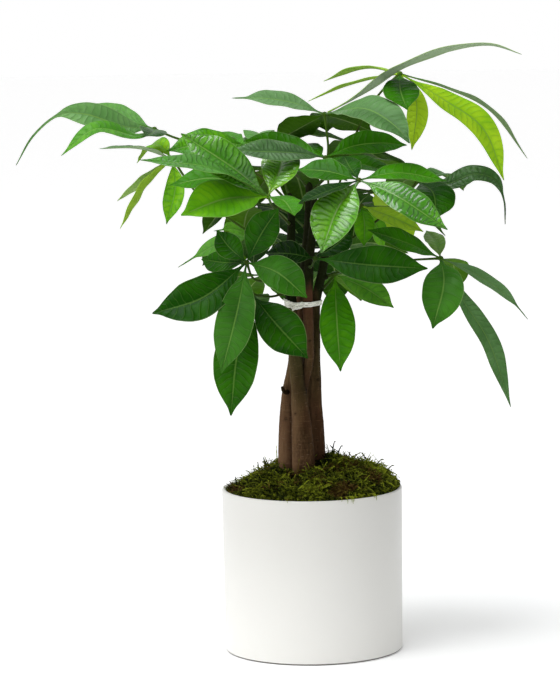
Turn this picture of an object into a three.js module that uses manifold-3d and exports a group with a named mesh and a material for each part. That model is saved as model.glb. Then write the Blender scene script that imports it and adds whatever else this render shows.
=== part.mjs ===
// A potted money tree: three bound stems with compound leaves, in moss, in a round pot.
// Millimetres, +Z up. The origin is the middle of the pot's foot, and the leaves' front is -Y.
import * as THREE from "three";
import { mergeVertices } from "three/addons/utils/BufferGeometryUtils.js";
import Module from "manifold-3d";

const wasm = await Module();
wasm.setup();

// Driving dimensions
const POT_HEIGHT = 163.5;
const POT_RIM_RADIUS = 90;
const POT_FOOT_RADIUS = 88.9;
const POT_WALL = 3.6;
const POT_FLOOR = 6;
const POT_SEGMENTS = 48;
const SOIL_TOP = 148;
const MOSS_RISE = 26;
const MOSS_BELOW_RIM = 1.5;
const STEM_FOOT = 122;
const GAP = 0.3;
const SEAT_GAP = 0.4;
const BLADE_THICKNESS = 0.7;
const STALK_RADIUS = 1.8;
const HUB_RADIUS = 3.6;
const KNOB_RADIUS = 2.7;
const KNOB_LENGTH = 3;
const TIE_BOTTOM = 346.5;
const TIE_HEIGHT = 5.5;
const TIE_THICKNESS = 1.2;
const TIE_CLEARANCE = 0.7;
const TIE_END_RADIUS = 1.7;
const STEM_SIDES = 8;
const STALK_SIDES = 5;
const STALK_LEAD = 5;

// Each stem is a list of places [x, y, z, radius] from its foot to its tip.
const STEMS = {
  front: [
    [-7.5, -11.5, STEM_FOOT, 11.8],
    [-8, -11.5, 187, 11.5],
    [-9, -11, 215, 10.4],
    [-9.8, -10, 250, 8],
    [-10.5, -9.5, 272, 7.4],
    [-12, -9, 292, 6.5],
    [-16, -7.5, 320, 6],
    [-18, -5.5, 348, 5.5],
    [-19, -4, 385, 5],
    [-17, -3, 420, 4.2],
    [-16, -3, 455, 3.2],
  ],
  frontFork: [
    [-8.5, -9.5, 262, 5],
    [-5, -8, 276, 5],
    [-1.5, -6.5, 292, 4.9],
    [-1, -6, 320, 5],
    [-1.6, -6, 348, 5],
    [0, -4.5, 385, 4.8],
    [4, -4, 420, 4],
    [7, -4, 460, 3],
  ],
  left: [
    [-22.6, 8, STEM_FOOT, 11],
    [-22.6, 8, 187, 10.8],
    [-22.6, 8.2, 215, 9.8],
    [-20.6, 9, 252, 8.4],
    [-16.6, 9.8, 275, 8],
    [-12, 10.2, 300, 7.4],
    [-8, 10.6, 330, 6.6],
    [-6.5, 10.8, 350, 6.2],
    [-3, 12, 385, 5.4],
    [0, 14, 420, 4.5],
    [2, 16, 468, 3.2],
  ],
  right: [
    [4.2, 10.2, STEM_FOOT, 10.4],
    [4.2, 10.2, 187, 10.2],
    [4, 9.8, 215, 9.2],
    [3.4, 9, 252, 7.7],
    [3.8, 7.4, 272, 6.8],
    [4.2, 6.8, 292, 6],
    [5.4, 6.4, 320, 5.3],
    [6.4, 6, 348, 4.8],
    [14, 4.5, 382, 4.3],
    [20, 6, 415, 3.6],
    [26, 8, 450, 2.8],
  ],
};

// Each leaf: the stem and height that its stalk grows from, the stalk's way to the hub,
// the way its upper side faces, and its blades. A blade runs from the hub through its points.
const LEAVES = [
  {
    name: "leaf_01",
    stem: "front",
    height: 447,
    stalk: [[-40, 2, 470], [-85, 8, 500], [-130, 10, 514]],
    hub: [-151, 10, 523],
    face: [0, -0.6, 0.8],
    blades: [
      { to: [[-180, 18, 533], [-214, 16, 540], [-247, 10, 538]], width: 24, face: [0, -0.5, 0.9] },
      {
        to: [[-180, -6, 527], [-218, -12, 540], [-243, -14, 540], [-269, -14, 520], [-287, -14, 491]],
        width: 27,
        tail: 0.36,
        face: [-0.1, -0.9, 0.45],
      },
      { to: [[-190, 40, 534], [-214, 62, 547]], width: 28, face: [-0.3, -0.75, 0.6] },
      { to: [[-166, -35, 519], [-206, -62, 528], [-238, -80, 504]], width: 22, face: [-0.2, -0.6, 0.75] },
      { to: [[-151, -30, 522], [-157, -58, 520]], width: 28, face: [0.2, -0.5, 0.85] },
    ],
  },
  {
    name: "leaf_02",
    stem: "front",
    height: 398,
    stalk: [[-48, -14, 416], [-69, -18, 429], [-109, -20, 461]],
    hub: [-133, -20, 496],
    face: [0, -0.4, 0.9],
    blades: [
      { to: [[-165, -52, 508], [-201, -78, 510]], width: 24, face: [0, 0, 1] },
      { to: [[-150, 10, 508], [-170, 34, 488]], width: 24, face: [-0.3, -0.2, 0.9] },
      { to: [[-162, -30, 473], [-187, -38, 456]], width: 22, face: [-0.6, 0.4, 0.7] },
      { to: [[-158, -52, 471], [-183, -74, 432]], width: 26, face: [-0.6, 0.4, 0.65] },
      { to: [[-130, -32, 468], [-139, -44, 433]], width: 28, face: [-0.2, -0.9, 0.3] },
    ],
  },
  {
    name: "leaf_03",
    stem: "front",
    height: 426,
    stalk: [[-25, -26, 436], [-35, -54, 450]],
    hub: [-39, -78, 461],
    face: [-0.1, -0.75, 0.65],
    blades: [
      { to: [[-80, -112, 462], [-122, -135, 449]], width: 48, face: [0.05, -0.72, 0.68] },
      { to: [[-72, -92, 490], [-122, -90, 524]], width: 40, face: [-0.1, -0.75, 0.65] },
      { to: [[-92, -118, 492], [-160, -132, 502]], width: 34, face: [-0.1, -0.4, 0.9] },
      { to: [[-88, -74, 479], [-134, -68, 473]], width: 36, face: [-0.2, -0.6, 0.75] },
      { to: [[-28, -48, 484], [-22, -10, 506]], width: 38, face: [0, -0.8, 0.6] },
      { to: [[-25, -108, 460], [-14, -148, 448]], width: 30, face: [0.2, -0.45, 0.85] },
    ],
  },
  {
    name: "leaf_04",
    stem: "front",
    height: 452,
    stalk: [[-26, 12, 474], [-40, 22, 490]],
    hub: [-57, 26, 504],
    face: [0, -0.5, 0.85],
    blades: [
      { to: [[-92, 2, 509], [-138, -14, 503]], width: 34, face: [0, -0.75, 0.65] },
      { to: [[-76, 46, 505], [-92, 80, 515]], width: 34, face: [0, -0.55, 0.8] },
      { to: [[-92, 58, 505], [-126, 88, 488]], width: 34, face: [-0.4, 0.1, 0.9] },
      { to: [[-68, 72, 508], [-86, 118, 488]], width: 34, face: [0, 0.3, 0.95] },
      { to: [[-48, 66, 514], [-50, 108, 507]], width: 32, face: [0, 0.2, 0.95] },
    ],
  },
  {
    name: "leaf_05",
    stem: "frontFork",
    height: 456,
    stalk: [[17, 4, 478], [21, 11, 500], [19, 14, 524]],
    hub: [18, 15, 535],
    face: [0, -0.3, 0.95],
    blades: [
      { to: [[-14, 10, 547], [-42, 4, 552], [-73, 0, 553]], width: 26, face: [0.1, -0.55, 0.8] },
      { to: [[-6, 50, 520], [-30, 84, 505]], width: 34, face: [-0.1, 0.85, 0.5] },
      { to: [[40, 50, 526], [66, 82, 514]], width: 34, face: [0.1, 0.85, 0.5] },
      {
        to: [[53, -2, 554], [92, -18, 579], [141, -30, 597], [180, -36, 602], [210, -38, 593]],
        width: 30,
        face: [-0.1, 0.2, 0.95],
      },
      { to: [[58, -38, 542], [87, -70, 525], [98, -85, 511]], width: 41, face: [0, -0.65, 0.75] },
      { to: [[20, 60, 530], [22, 110, 512]], width: 34, face: [0, 0.4, 0.9] },
    ],
  },
  {
    name: "leaf_06",
    stem: "right",
    height: 446,
    stalk: [[33, 26, 468], [44, 42, 500], [60, 36, 535], [80, 20, 562]],
    hub: [93, 12, 574],
    face: [0, -0.2, 0.95],
    blades: [
      { to: [[62, 34, 579], [18, 52, 566]], width: 26, face: [0, 0.12, 1] },
      { to: [[68, 12, 570], [38, 14, 562], [2, 16, 548]], width: 22, face: [0, 0.1, 1] },
      { to: [[92, -20, 560], [97, -58, 542]], width: 36, face: [0, -0.6, 0.8] },
      { to: [[108, -4, 548], [103, -14, 500]], width: 23, face: [0.4, -0.85, 0.3] },
      { to: [[134, 6, 549], [174, 0, 519], [194, -6, 468]], width: 31, face: [0.35, -0.75, 0.55] },
      { to: [[140, 32, 558], [183, 40, 535], [221, 44, 486]], width: 28, face: [0.5, 0.1, 0.85] },
    ],
  },
  {
    name: "leaf_07",
    stem: "frontFork",
    height: 440,
    stalk: [[19, -14, 456], [20, -9, 478]],
    hub: [18, -4, 493],
    face: [0, -0.35, 0.9],
    blades: [
      { to: [[46, 10, 503], [74, 20, 505], [100, 30, 502]], width: 31, face: [0.1, -0.7, 0.7] },
      { to: [[50, -22, 488], [86, -34, 478]], width: 32, face: [0.2, -0.4, 0.9] },
      { to: [[64, 26, 487], [108, 48, 474]], width: 34, face: [0.3, 0.2, 0.9] },
      { to: [[-10, 8, 501], [-40, 16, 507], [-63, 8, 510]], width: 30, face: [0, -0.7, 0.7] },
      { to: [[-12, -34, 500], [-42, -54, 503], [-76, -64, 506]], width: 32, face: [0, -0.65, 0.75] },
      { to: [[-4, 54, 502], [-14, 104, 488]], width: 34, face: [0, 0.4, 0.9] },
    ],
  },
  {
    name: "leaf_08",
    stem: "right",
    height: 424,
    stalk: [[30, -30, 444], [42, -60, 462]],
    hub: [49, -82, 476],
    face: [0, -0.8, 0.6],
    blades: [
      { to: [[27, -110, 450], [11, -126, 410]], width: 46, face: [-0.15, -0.9, 0.4] },
      { to: [[82, -104, 463], [132, -120, 430]], width: 34, face: [0.1, -0.75, 0.65] },
      { to: [[86, -78, 482], [134, -72, 473]], width: 30, face: [0, -0.5, 0.85] },
      { to: [[40, -54, 488], [36, -28, 496]], width: 24, face: [0, -0.6, 0.8] },
      { to: [[20, -74, 484], [-10, -64, 486]], width: 32, face: [0, -0.6, 0.8] },
      { to: [[20, -104, 468], [-10, -124, 458]], width: 26, face: [0, -0.2, 0.95] },
    ],
  },
  {
    name: "leaf_09",
    stem: "right",
    height: 398,
    stalk: [[40, 14, 409], [85, 24, 440]],
    hub: [110, 26, 466],
    face: [0.2, -0.3, 0.9],
    blades: [
      {
        to: [[138, 22, 463], [166, 17, 473], [186, 14, 467], [195, 12, 447], [196, 10, 423]],
        width: 21,
        tail: 0.2,
        face: [0.4, -0.7, 0.6],
      },
      { to: [[124, 0, 456], [126, -24, 432]], width: 42, face: [0.3, -0.85, 0.4] },
      { to: [[98, 60, 464], [94, 98, 442]], width: 34, face: [0, 0.4, 0.9] },
      { to: [[138, 62, 470], [160, 104, 450]], width: 34, face: [0.4, 0.3, 0.85] },
    ],
  },
  {
    name: "leaf_10",
    stem: "right",
    height: 372,
    stalk: [[40, 3, 382], [90, 0, 389]],
    hub: [131, 0, 391],
    face: [0.3, -0.5, 0.8],
    blades: [
      { to: [[100, -16, 407], [58, -28, 423]], width: 28, face: [0, -0.65, 0.75] },
      { to: [[128, 32, 404], [120, 66, 413]], width: 20, face: [0, -0.6, 0.8] },
      { to: [[168, 2, 373], [199, -2, 350], [217, -4, 329]], width: 24, face: [0.4, -0.5, 0.75] },
      { to: [[152, 2, 350], [178, 4, 307], [200, 6, 240]], width: 29, face: [0.6, -0.75, 0.3] },
      { to: [[132, -36, 368], [120, -52, 327]], width: 41, face: [0.05, -0.92, 0.4] },
      { to: [[146, 44, 380], [146, 82, 346]], width: 30, face: [0.2, 0.6, 0.75] },
    ],
  },
  {
    name: "leaf_11",
    stem: "frontFork",
    height: 384,
    stalk: [[3, -24, 388]],
    hub: [6, -44, 397],
    face: [0, -0.8, 0.6],
    blades: [
      { to: [[54, -62, 392], [115, -70, 388]], width: 40, face: [0, -0.9, 0.45] },
      { to: [[-18, -46, 402], [-43, -43, 403]], width: 30, face: [0, -0.7, 0.7] },
      { to: [[26, -30, 408], [42, -12, 420]], width: 26, face: [0, -0.8, 0.6] },
    ],
  },
  {
    name: "leaf_12",
    stem: "front",
    height: 378,
    stalk: [[-40, -28, 374], [-55, -48, 379]],
    hub: [-61, -62, 396],
    face: [-0.1, -0.9, 0.4],
    blades: [
      { to: [[-104, -80, 364], [-153, -86, 350]], width: 44, face: [-0.1, -0.9, 0.45] },
      { to: [[-71, -88, 350], [-87, -98, 292]], width: 37, face: [0, -0.98, 0.2] },
      { to: [[-32, -82, 388], [-3, -95, 364]], width: 36, face: [0.1, -0.9, 0.4] },
      { to: [[-46, -63, 424], [-29, -67, 449]], width: 34, face: [-0.1, -0.9, 0.4] },
      { to: [[-78, -50, 410], [-90, -42, 426]], width: 26, face: [0, -0.9, 0.4] },
      { to: [[-84, -40, 394], [-106, -22, 396]], width: 28, face: [0, -0.85, 0.5] },
    ],
  },
  {
    name: "leaf_13",
    stem: "front",
    height: 360,
    stalk: [[-38, -24, 358]],
    hub: [-56, -42, 362],
    face: [0, -0.9, 0.4],
    blades: [
      { to: [[-71, -60, 310], [-79, -66, 246]], width: 44, face: [-0.1, -0.98, 0.2] },
      { to: [[-33, -64, 335], [-3, -78, 303]], width: 42, face: [0.05, -0.95, 0.3] },
      { to: [[-72, -20, 346], [-82, 2, 320]], width: 28, face: [-0.5, 0.2, 0.8] },
      { to: [[-54, 0, 352], [-54, 32, 332]], width: 30, face: [-0.1, 0.5, 0.85] },
    ],
  },
  {
    name: "leaf_14",
    stem: "left",
    height: 392,
    stalk: [[-26, 28, 404]],
    hub: [-54, 46, 412],
    face: [-0.2, 0.1, 0.95],
    blades: [
      { to: [[-92, 62, 402], [-132, 72, 379]], width: 23, face: [-0.3, -0.65, 0.7] },
      { to: [[-84, 84, 400], [-108, 114, 376]], width: 34, face: [-0.3, 0.4, 0.85] },
      { to: [[-74, 34, 420], [-94, 20, 420]], width: 22, face: [0, -0.6, 0.8] },
      { to: [[-54, 94, 402], [-56, 134, 374]], width: 36, face: [0, 0.6, 0.8] },
      { to: [[-30, 80, 406], [-16, 116, 382]], width: 30, face: [0.2, 0.5, 0.8] },
    ],
  },
  {
    name: "leaf_15",
    stem: "right",
    height: 412,
    stalk: [[40, 20, 430]],
    hub: [54, 28, 442],
    face: [0.2, 0, 0.95],
    blades: [
      { to: [[56, 12, 426], [55, 2, 404]], width: 26, face: [0, -0.9, 0.4] },
      { to: [[68, 38, 422], [76, 48, 396]], width: 26, face: [0.3, -0.7, 0.5] },
      { to: [[84, 4, 432], [114, -2, 418]], width: 24, face: [0.2, -0.7, 0.65] },
      { to: [[82, 60, 434], [108, 92, 414]], width: 34, face: [0.3, 0.4, 0.85] },
      { to: [[50, 76, 438], [48, 120, 416]], width: 36, face: [0, 0.5, 0.85] },
    ],
  },
  {
    name: "leaf_16",
    stem: "right",
    height: 358,
    stalk: [[20, 18, 367]],
    hub: [26, 24, 374],
    face: [0.2, -0.4, 0.8],
    blades: [
      { to: [[56, 14, 361], [84, 4, 342]], width: 28, face: [0.2, -0.85, 0.5] },
      { to: [[27, -1, 333], [30, -6, 280]], width: 36, face: [0.1, -0.98, 0.2] },
      { to: [[40, 66, 368], [54, 106, 338]], width: 36, face: [0.2, 0.6, 0.8] },
      { to: [[8, 62, 368], [-2, 100, 340]], width: 34, face: [-0.1, 0.6, 0.8] },
    ],
  },
  {
    name: "leaf_17",
    stem: "left",
    height: 458,
    stalk: [[12, 34, 464], [34, 62, 484]],
    hub: [52, 84, 500],
    face: [0.2, 0.5, 0.85],
    blades: [
      { to: [[82, 90, 481], [110, 96, 462]], width: 30, face: [0.4, 0.2, 0.9] },
      { to: [[80, 120, 478], [104, 150, 446]], width: 40, face: [0.3, 0.5, 0.8] },
      { to: [[44, 128, 494], [38, 164, 460]], width: 42, face: [0, 0.6, 0.8] },
      { to: [[18, 106, 508], [-14, 118, 510]], width: 32, face: [-0.2, 0.4, 0.9] },
    ],
  },
  {
    name: "leaf_18",
    stem: "left",
    height: 460,
    stalk: [[-8, 48, 470]],
    hub: [-16, 84, 474],
    face: [-0.2, 0.5, 0.85],
    blades: [
      { to: [[-58, 100, 474], [-100, 104, 460]], width: 36, face: [-0.3, 0.3, 0.9] },
      { to: [[-42, 130, 462], [-62, 160, 426]], width: 42, face: [-0.2, 0.7, 0.75] },
      { to: [[-8, 136, 460], [0, 166, 420]], width: 42, face: [0, 0.75, 0.7] },
      { to: [[16, 106, 474], [42, 126, 460]], width: 32, face: [0.3, 0.5, 0.8] },
    ],
  },
  {
    name: "leaf_19",
    stem: "left",
    height: 420,
    stalk: [[-20, 52, 434], [-40, 84, 440]],
    hub: [-56, 104, 440],
    face: [-0.4, 0.6, 0.8],
    blades: [
      { to: [[-84, 130, 434], [-108, 146, 406]], width: 36, face: [-0.5, 0.5, 0.7] },
      { to: [[-64, 146, 420], [-68, 168, 370]], width: 42, face: [-0.2, 0.9, 0.5] },
      { to: [[-28, 136, 428], [-2, 160, 394]], width: 38, face: [0.3, 0.7, 0.7] },
      { to: [[-80, 98, 438], [-98, 94, 431]], width: 26, face: [-0.3, 0, 0.9] },
    ],
  },
  {
    name: "leaf_20",
    stem: "left",
    height: 436,
    stalk: [[20, 52, 446], [46, 88, 454]],
    hub: [66, 110, 450],
    face: [0.3, 0.6, 0.8],
    blades: [
      { to: [[104, 122, 438], [142, 124, 402]], width: 38, face: [0.6, 0.3, 0.75] },
      { to: [[88, 146, 428], [102, 166, 380]], width: 42, face: [0.4, 0.8, 0.5] },
      { to: [[54, 148, 432], [46, 168, 386]], width: 40, face: [-0.1, 0.9, 0.5] },
      { to: [[36, 126, 444], [14, 132, 432]], width: 28, face: [-0.3, 0.5, 0.85] },
    ],
  },
  {
    name: "leaf_21",
    stem: "left",
    height: 384,
    stalk: [[8, 46, 392], [18, 82, 396]],
    hub: [24, 112, 392],
    face: [0, 0.8, 0.6],
    blades: [
      { to: [[66, 126, 396], [104, 132, 384]], width: 38, face: [0.3, 0.6, 0.75] },
      { to: [[28, 138, 364], [28, 146, 328]], width: 36, face: [0.05, 0.95, 0.35] },
      { to: [[-2, 134, 368], [-18, 142, 328]], width: 36, face: [-0.2, 0.95, 0.35] },
      { to: [[-12, 122, 396], [-44, 126, 378]], width: 30, face: [-0.4, 0.6, 0.7] },
    ],
  },
  {
    name: "leaf_22",
    stem: "left",
    height: 370,
    stalk: [[-22, 40, 372], [-36, 66, 372]],
    hub: [-48, 92, 368],
    face: [-0.3, 0.7, 0.6],
    blades: [
      { to: [[-84, 104, 364], [-114, 110, 350]], width: 34, face: [-0.3, 0.5, 0.8] },
      { to: [[-62, 120, 348], [-68, 134, 320]], width: 36, face: [-0.2, 0.85, 0.5] },
      { to: [[-22, 112, 354], [-4, 124, 328]], width: 34, face: [0.1, 0.85, 0.5] },
    ],
  },
];

// A closed mesh as a solid, and a solid as a mesh's geometry
function solidOf(geometry) {
  const bare = geometry.clone();
  bare.deleteAttribute("normal");
  bare.deleteAttribute("uv");
  const merged = mergeVertices(bare, 1e-4);
  return new wasm.Manifold(
    new wasm.Mesh({
      numProp: 3,
      vertProperties: new Float32Array(merged.attributes.position.array),
      triVerts: new Uint32Array(merged.index.array),
    }),
  );
}

function geometryOf(solid) {
  const mesh = solid.getMesh();
  const geometry = new THREE.BufferGeometry();
  geometry.setAttribute("position", new THREE.BufferAttribute(new Float32Array(mesh.vertProperties), 3));
  geometry.setIndex(new THREE.BufferAttribute(new Uint32Array(mesh.triVerts), 1));
  return geometry;
}

// A closed skin over rings of as many points each. flips tells which sides split the other way.
function skin(rings, flips = () => false) {
  const sides = rings[0].length;
  const positions = rings.flat().flatMap((point) => point.toArray());
  const faces = [];
  for (let ring = 0; ring < rings.length - 1; ring += 1) {
    for (let side = 0; side < sides; side += 1) {
      const a = ring * sides + side;
      const b = ring * sides + ((side + 1) % sides);
      const c = a + sides;
      const d = b + sides;
      faces.push(...(flips(side) ? [a, b, c, b, d, c] : [a, b, d, a, d, c]));
    }
  }
  const last = (rings.length - 1) * sides;
  for (let side = 1; side < sides - 1; side += 1) {
    faces.push(0, side + 1, side);
    faces.push(last, last + side, last + side + 1);
  }
  const geometry = new THREE.BufferGeometry();
  geometry.setAttribute("position", new THREE.Float32BufferAttribute(positions, 3));
  geometry.setIndex(faces);
  return geometry;
}

// A round stem along a curve, with its radius at each step from 0 to 1
function stemSkin(curve, steps, sides, radiusAt) {
  const rings = [];
  const ahead = curve.getTangent(0);
  let across = new THREE.Vector3(1, 0, 0);
  if (Math.abs(ahead.x) > 0.8) {
    across = new THREE.Vector3(0, 1, 0);
  }
  for (let step = 0; step <= steps; step += 1) {
    const t = step / steps;
    const centre = curve.getPoint(t);
    const along = curve.getTangent(t);
    across.addScaledVector(along, -across.dot(along)).normalize();
    const up = new THREE.Vector3().crossVectors(along, across);
    const ring = [];
    for (let side = 0; side < sides; side += 1) {
      const angle = (2 * Math.PI * side) / sides;
      const radius = radiusAt(t);
      const point = centre.clone().addScaledVector(across, radius * Math.cos(angle));
      ring.push(point.addScaledVector(up, radius * Math.sin(angle)));
    }
    rings.push(ring);
  }
  return skin(rings);
}

function vector(place) {
  return new THREE.Vector3(place[0], place[1], place[2]);
}

// The stem's middle and radius at a height, between the places that its list names
function stemAt(stem, height) {
  const places = STEMS[stem];
  const above = Math.max(1, places.findIndex((place) => place[2] >= height));
  const low = places[above - 1];
  const high = places[above];
  const share = (height - low[2]) / (high[2] - low[2]);
  return low.map((value, index) => value + share * (high[index] - value));
}

// A stem, grown by extra all round and below where it is a cutter
function stemSolid(name, extra = 0) {
  const places = STEMS[name].map((place) => [...place]);
  places[0][2] -= extra;
  const curve = new THREE.CatmullRomCurve3(places.map(vector));
  const radiusAt = (t) => {
    const spot = t * (places.length - 1);
    const low = Math.min(places.length - 2, Math.floor(spot));
    const share = spot - low;
    return places[low][3] * (1 - share) + places[low + 1][3] * share + extra;
  };
  return solidOf(stemSkin(curve, places.length + 3, STEM_SIDES, radiusAt));
}

// Where a leaf's stalk leaves its stem, and the way it starts
function seatOf(leaf) {
  const [x, y, z, radius] = stemAt(leaf.stem, leaf.height);
  const middle = new THREE.Vector3(x, y, z);
  const way = vector(leaf.stalk[0]).sub(middle).normalize();
  return { middle, way, radius };
}

function knobSolid(leaf) {
  const { middle, way, radius } = seatOf(leaf);
  const length = radius + KNOB_LENGTH;
  const knob = new THREE.CylinderGeometry(KNOB_RADIUS, KNOB_RADIUS, length, 6);
  knob.translate(0, length / 2, 0);
  knob.applyQuaternion(new THREE.Quaternion().setFromUnitVectors(new THREE.Vector3(0, 1, 0), way));
  knob.translate(middle.x, middle.y, middle.z);
  return solidOf(knob);
}

// How wide and thick a blade is along its length, as shares of its full width and in millimetres
const BLADE_STATIONS = [
  { at: 0.018, width: 0.05, thickness: 2 },
  { at: 0.1, width: 0.09, thickness: 1.3 },
  { at: 0.3, width: 0.7, thickness: BLADE_THICKNESS },
  { at: 0.55, width: 1, thickness: BLADE_THICKNESS },
  { at: 0.8, width: 0.7, thickness: BLADE_THICKNESS },
  { at: 1, width: 0.08, thickness: BLADE_THICKNESS },
];
const BLADE_FOLD = 0.2;
const MIN_HALF_WIDTH = 0.9;

// A leaflet: a thin blade folded a little along its midrib
function bladeSolid(hub, blade, leafFace) {
  const curve = new THREE.CatmullRomCurve3([vector(hub), ...blade.to.map(vector)]);
  const face = vector(blade.face ?? leafFace).normalize();
  const tail = blade.tail ?? 0;
  const stations = BLADE_STATIONS.map((station) => ({ ...station, at: station.at * (1 - tail) }));
  if (tail > 0) {
    stations.push({ at: 1 - tail / 2, width: 0.08, thickness: BLADE_THICKNESS });
    stations.push({ at: 1, width: 0.05, thickness: BLADE_THICKNESS });
  }
  const rings = stations.map((station) => {
    const middle = curve.getPointAt(station.at);
    const along = curve.getTangentAt(station.at);
    const across = new THREE.Vector3().crossVectors(along, face).normalize();
    const up = new THREE.Vector3().crossVectors(across, along);
    const half = Math.max(MIN_HALF_WIDTH, (station.width * blade.width) / 2);
    const lift = half * BLADE_FOLD;
    const thick = station.thickness / 2;
    const corner = (side, height) =>
      middle.clone().addScaledVector(across, side).addScaledVector(up, height);
    return [
      corner(0, thick),
      corner(half, lift + thick),
      corner(half, lift - thick),
      corner(0, -thick),
      corner(-half, lift - thick),
      corner(-half, lift + thick),
    ];
  });
  return solidOf(skin(rings, (side) => side % 3 === 2));
}

function stalkSolid(leaf) {
  const { middle, way, radius } = seatOf(leaf);
  const start = middle.clone().addScaledVector(way, radius + KNOB_LENGTH + SEAT_GAP);
  const first = start.clone().addScaledVector(way, STALK_LEAD);
  const places = [start, first, ...leaf.stalk.map(vector), vector(leaf.hub)];
  const curve = new THREE.CatmullRomCurve3(places);
  return solidOf(stemSkin(curve, places.length + 1, STALK_SIDES, () => STALK_RADIUS));
}

function leafPieces(leaf) {
  const hub = new THREE.SphereGeometry(HUB_RADIUS, 6, 4);
  hub.translate(leaf.hub[0], leaf.hub[1], leaf.hub[2]);
  const blades = leaf.blades.map((blade) => bladeSolid(leaf.hub, blade, leaf.face));
  return [stalkSolid(leaf), solidOf(hub), ...blades];
}

function leafSolid(leaf) {
  return leafPieces(leaf).reduce((whole, piece) => whole.add(piece));
}

// The pot: a plain cylinder with a small foot bevel and a rounded rim
function potGeometry() {
  const inside = POT_RIM_RADIUS - POT_WALL;
  const profile = [
    [0, 0],
    [POT_FOOT_RADIUS - 2, 0],
    [POT_FOOT_RADIUS - 0.6, 0.8],
    [POT_FOOT_RADIUS, 2.4],
    [POT_RIM_RADIUS, POT_HEIGHT - 2],
    [POT_RIM_RADIUS - 0.5, POT_HEIGHT - 0.6],
    [POT_RIM_RADIUS - 1.5, POT_HEIGHT],
    [inside + 1, POT_HEIGHT],
    [inside, POT_HEIGHT - 1.2],
    [inside - 1, POT_FLOOR + 8],
    [inside - 8, POT_FLOOR],
    [0, POT_FLOOR],
  ];
  return new THREE.LatheGeometry(profile.map((spot) => new THREE.Vector2(...spot)), POT_SEGMENTS).rotateX(
    Math.PI / 2,
  );
}

function cutByStems(solid) {
  return Object.keys(STEMS).reduce((left, name) => left.subtract(stemSolid(name, GAP)), solid);
}

function soilSolid() {
  const inside = POT_RIM_RADIUS - POT_WALL;
  const profile = [
    [0, POT_FLOOR + GAP],
    [inside - 9, POT_FLOOR + GAP],
    [inside - 1.6, POT_FLOOR + 9],
    [inside - 0.6, SOIL_TOP],
    [0, SOIL_TOP],
  ];
  const soil = new THREE.LatheGeometry(profile.map((spot) => new THREE.Vector2(...spot)), 40);
  return cutByStems(solidOf(soil.rotateX(Math.PI / 2)));
}

// The moss: a lumpy mound, higher to the right, that comes up to the rim inside it
function mossSolid() {
  const outer = POT_RIM_RADIUS - POT_WALL - 2 * GAP;
  const spokes = 32;
  const bands = 8;
  const heightAt = (share, angle) => {
    const x = share * Math.cos(angle);
    const y = share * Math.sin(angle);
    const dome = (1 - share ** 3) * MOSS_RISE * (1 + 0.22 * x + 0.1 * y);
    const clumps = 2.2 * Math.sin(9 * x + 4 * y) * Math.cos(8 * y - 3 * x);
    const tufts = 1.3 * Math.sin(17 * x) * Math.sin(15 * y);
    const edge = 1 - 0.8 * share ** 8;
    return POT_HEIGHT - MOSS_BELOW_RIM + dome + (clumps + tufts) * edge;
  };
  const rings = [];
  for (let band = 0; band <= bands; band += 1) {
    const share = 1 - band / (bands + 0.6);
    const ring = [];
    for (let spoke = 0; spoke < spokes; spoke += 1) {
      const angle = (2 * Math.PI * spoke) / spokes;
      ring.push(
        new THREE.Vector3(
          outer * share * Math.cos(angle),
          outer * share * Math.sin(angle),
          heightAt(share, angle),
        ),
      );
    }
    rings.push(ring);
  }
  const bottom = rings[0].map((point) => new THREE.Vector3(point.x, point.y, SOIL_TOP + GAP));
  return cutByStems(solidOf(skin([bottom, ...rings])));
}

// The tie: a flat band drawn round the stems, with its two ends twisted together in front
function tieSolid() {
  const corners = 28;
  const edges = [TIE_BOTTOM, TIE_BOTTOM + TIE_HEIGHT];
  const stems = edges.flatMap((height) => Object.keys(STEMS).map((name) => stemAt(name, height)));
  const outline = (clear) => {
    const points = [];
    for (let step = 0; step < corners; step += 1) {
      const angle = (2 * Math.PI * step) / corners;
      const reach = (stem) => stem[0] * Math.cos(angle) + stem[1] * Math.sin(angle) + stem[3];
      const outermost = stems.reduce((best, stem) => (reach(stem) > reach(best) ? stem : best));
      const radius = outermost[3] + clear;
      points.push(
        new THREE.Vector2(outermost[0] + radius * Math.cos(angle), outermost[1] + radius * Math.sin(angle)),
      );
    }
    return points;
  };
  const shape = new THREE.Shape(outline(TIE_CLEARANCE + TIE_THICKNESS));
  shape.holes.push(new THREE.Path(outline(TIE_CLEARANCE)));
  const band = new THREE.ExtrudeGeometry(shape, { depth: TIE_HEIGHT, bevelEnabled: false });
  band.translate(0, 0, TIE_BOTTOM);
  const ends = [
    [[-6, -13.4, 350], [-13, -15.2, 348.5], [-20, -14.6, 351], [-26, -12, 354]],
    [[-8, -13.6, 348], [-13, -15.4, 346], [-17, -15.6, 343.4]],
  ];
  const twisted = ends.map((places) => {
    const curve = new THREE.CatmullRomCurve3(places.map(vector));
    return solidOf(stemSkin(curve, 4, STALK_SIDES, () => TIE_END_RADIUS));
  });
  return twisted.reduce((whole, end) => whole.add(end), solidOf(band));
}

const COLOURS = {
  pot: { color: 0xf1efe9, roughness: 0.32 },
  soil: { color: 0x35261b, roughness: 0.95 },
  moss: { color: 0x47621a, roughness: 0.95 },
  stem: { color: 0x594335, roughness: 0.75 },
  tie: { color: 0xdfe0cf, roughness: 0.6 },
  leaf: { color: 0x2f7a1c, roughness: 0.4 },
};

const tree = new THREE.Group();

function place(name, geometry, look) {
  const material = new THREE.MeshStandardMaterial({ ...COLOURS[look], metalness: 0 });
  geometry.computeVertexNormals();
  const mesh = new THREE.Mesh(geometry, material);
  mesh.name = name;
  tree.add(mesh);
}

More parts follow.
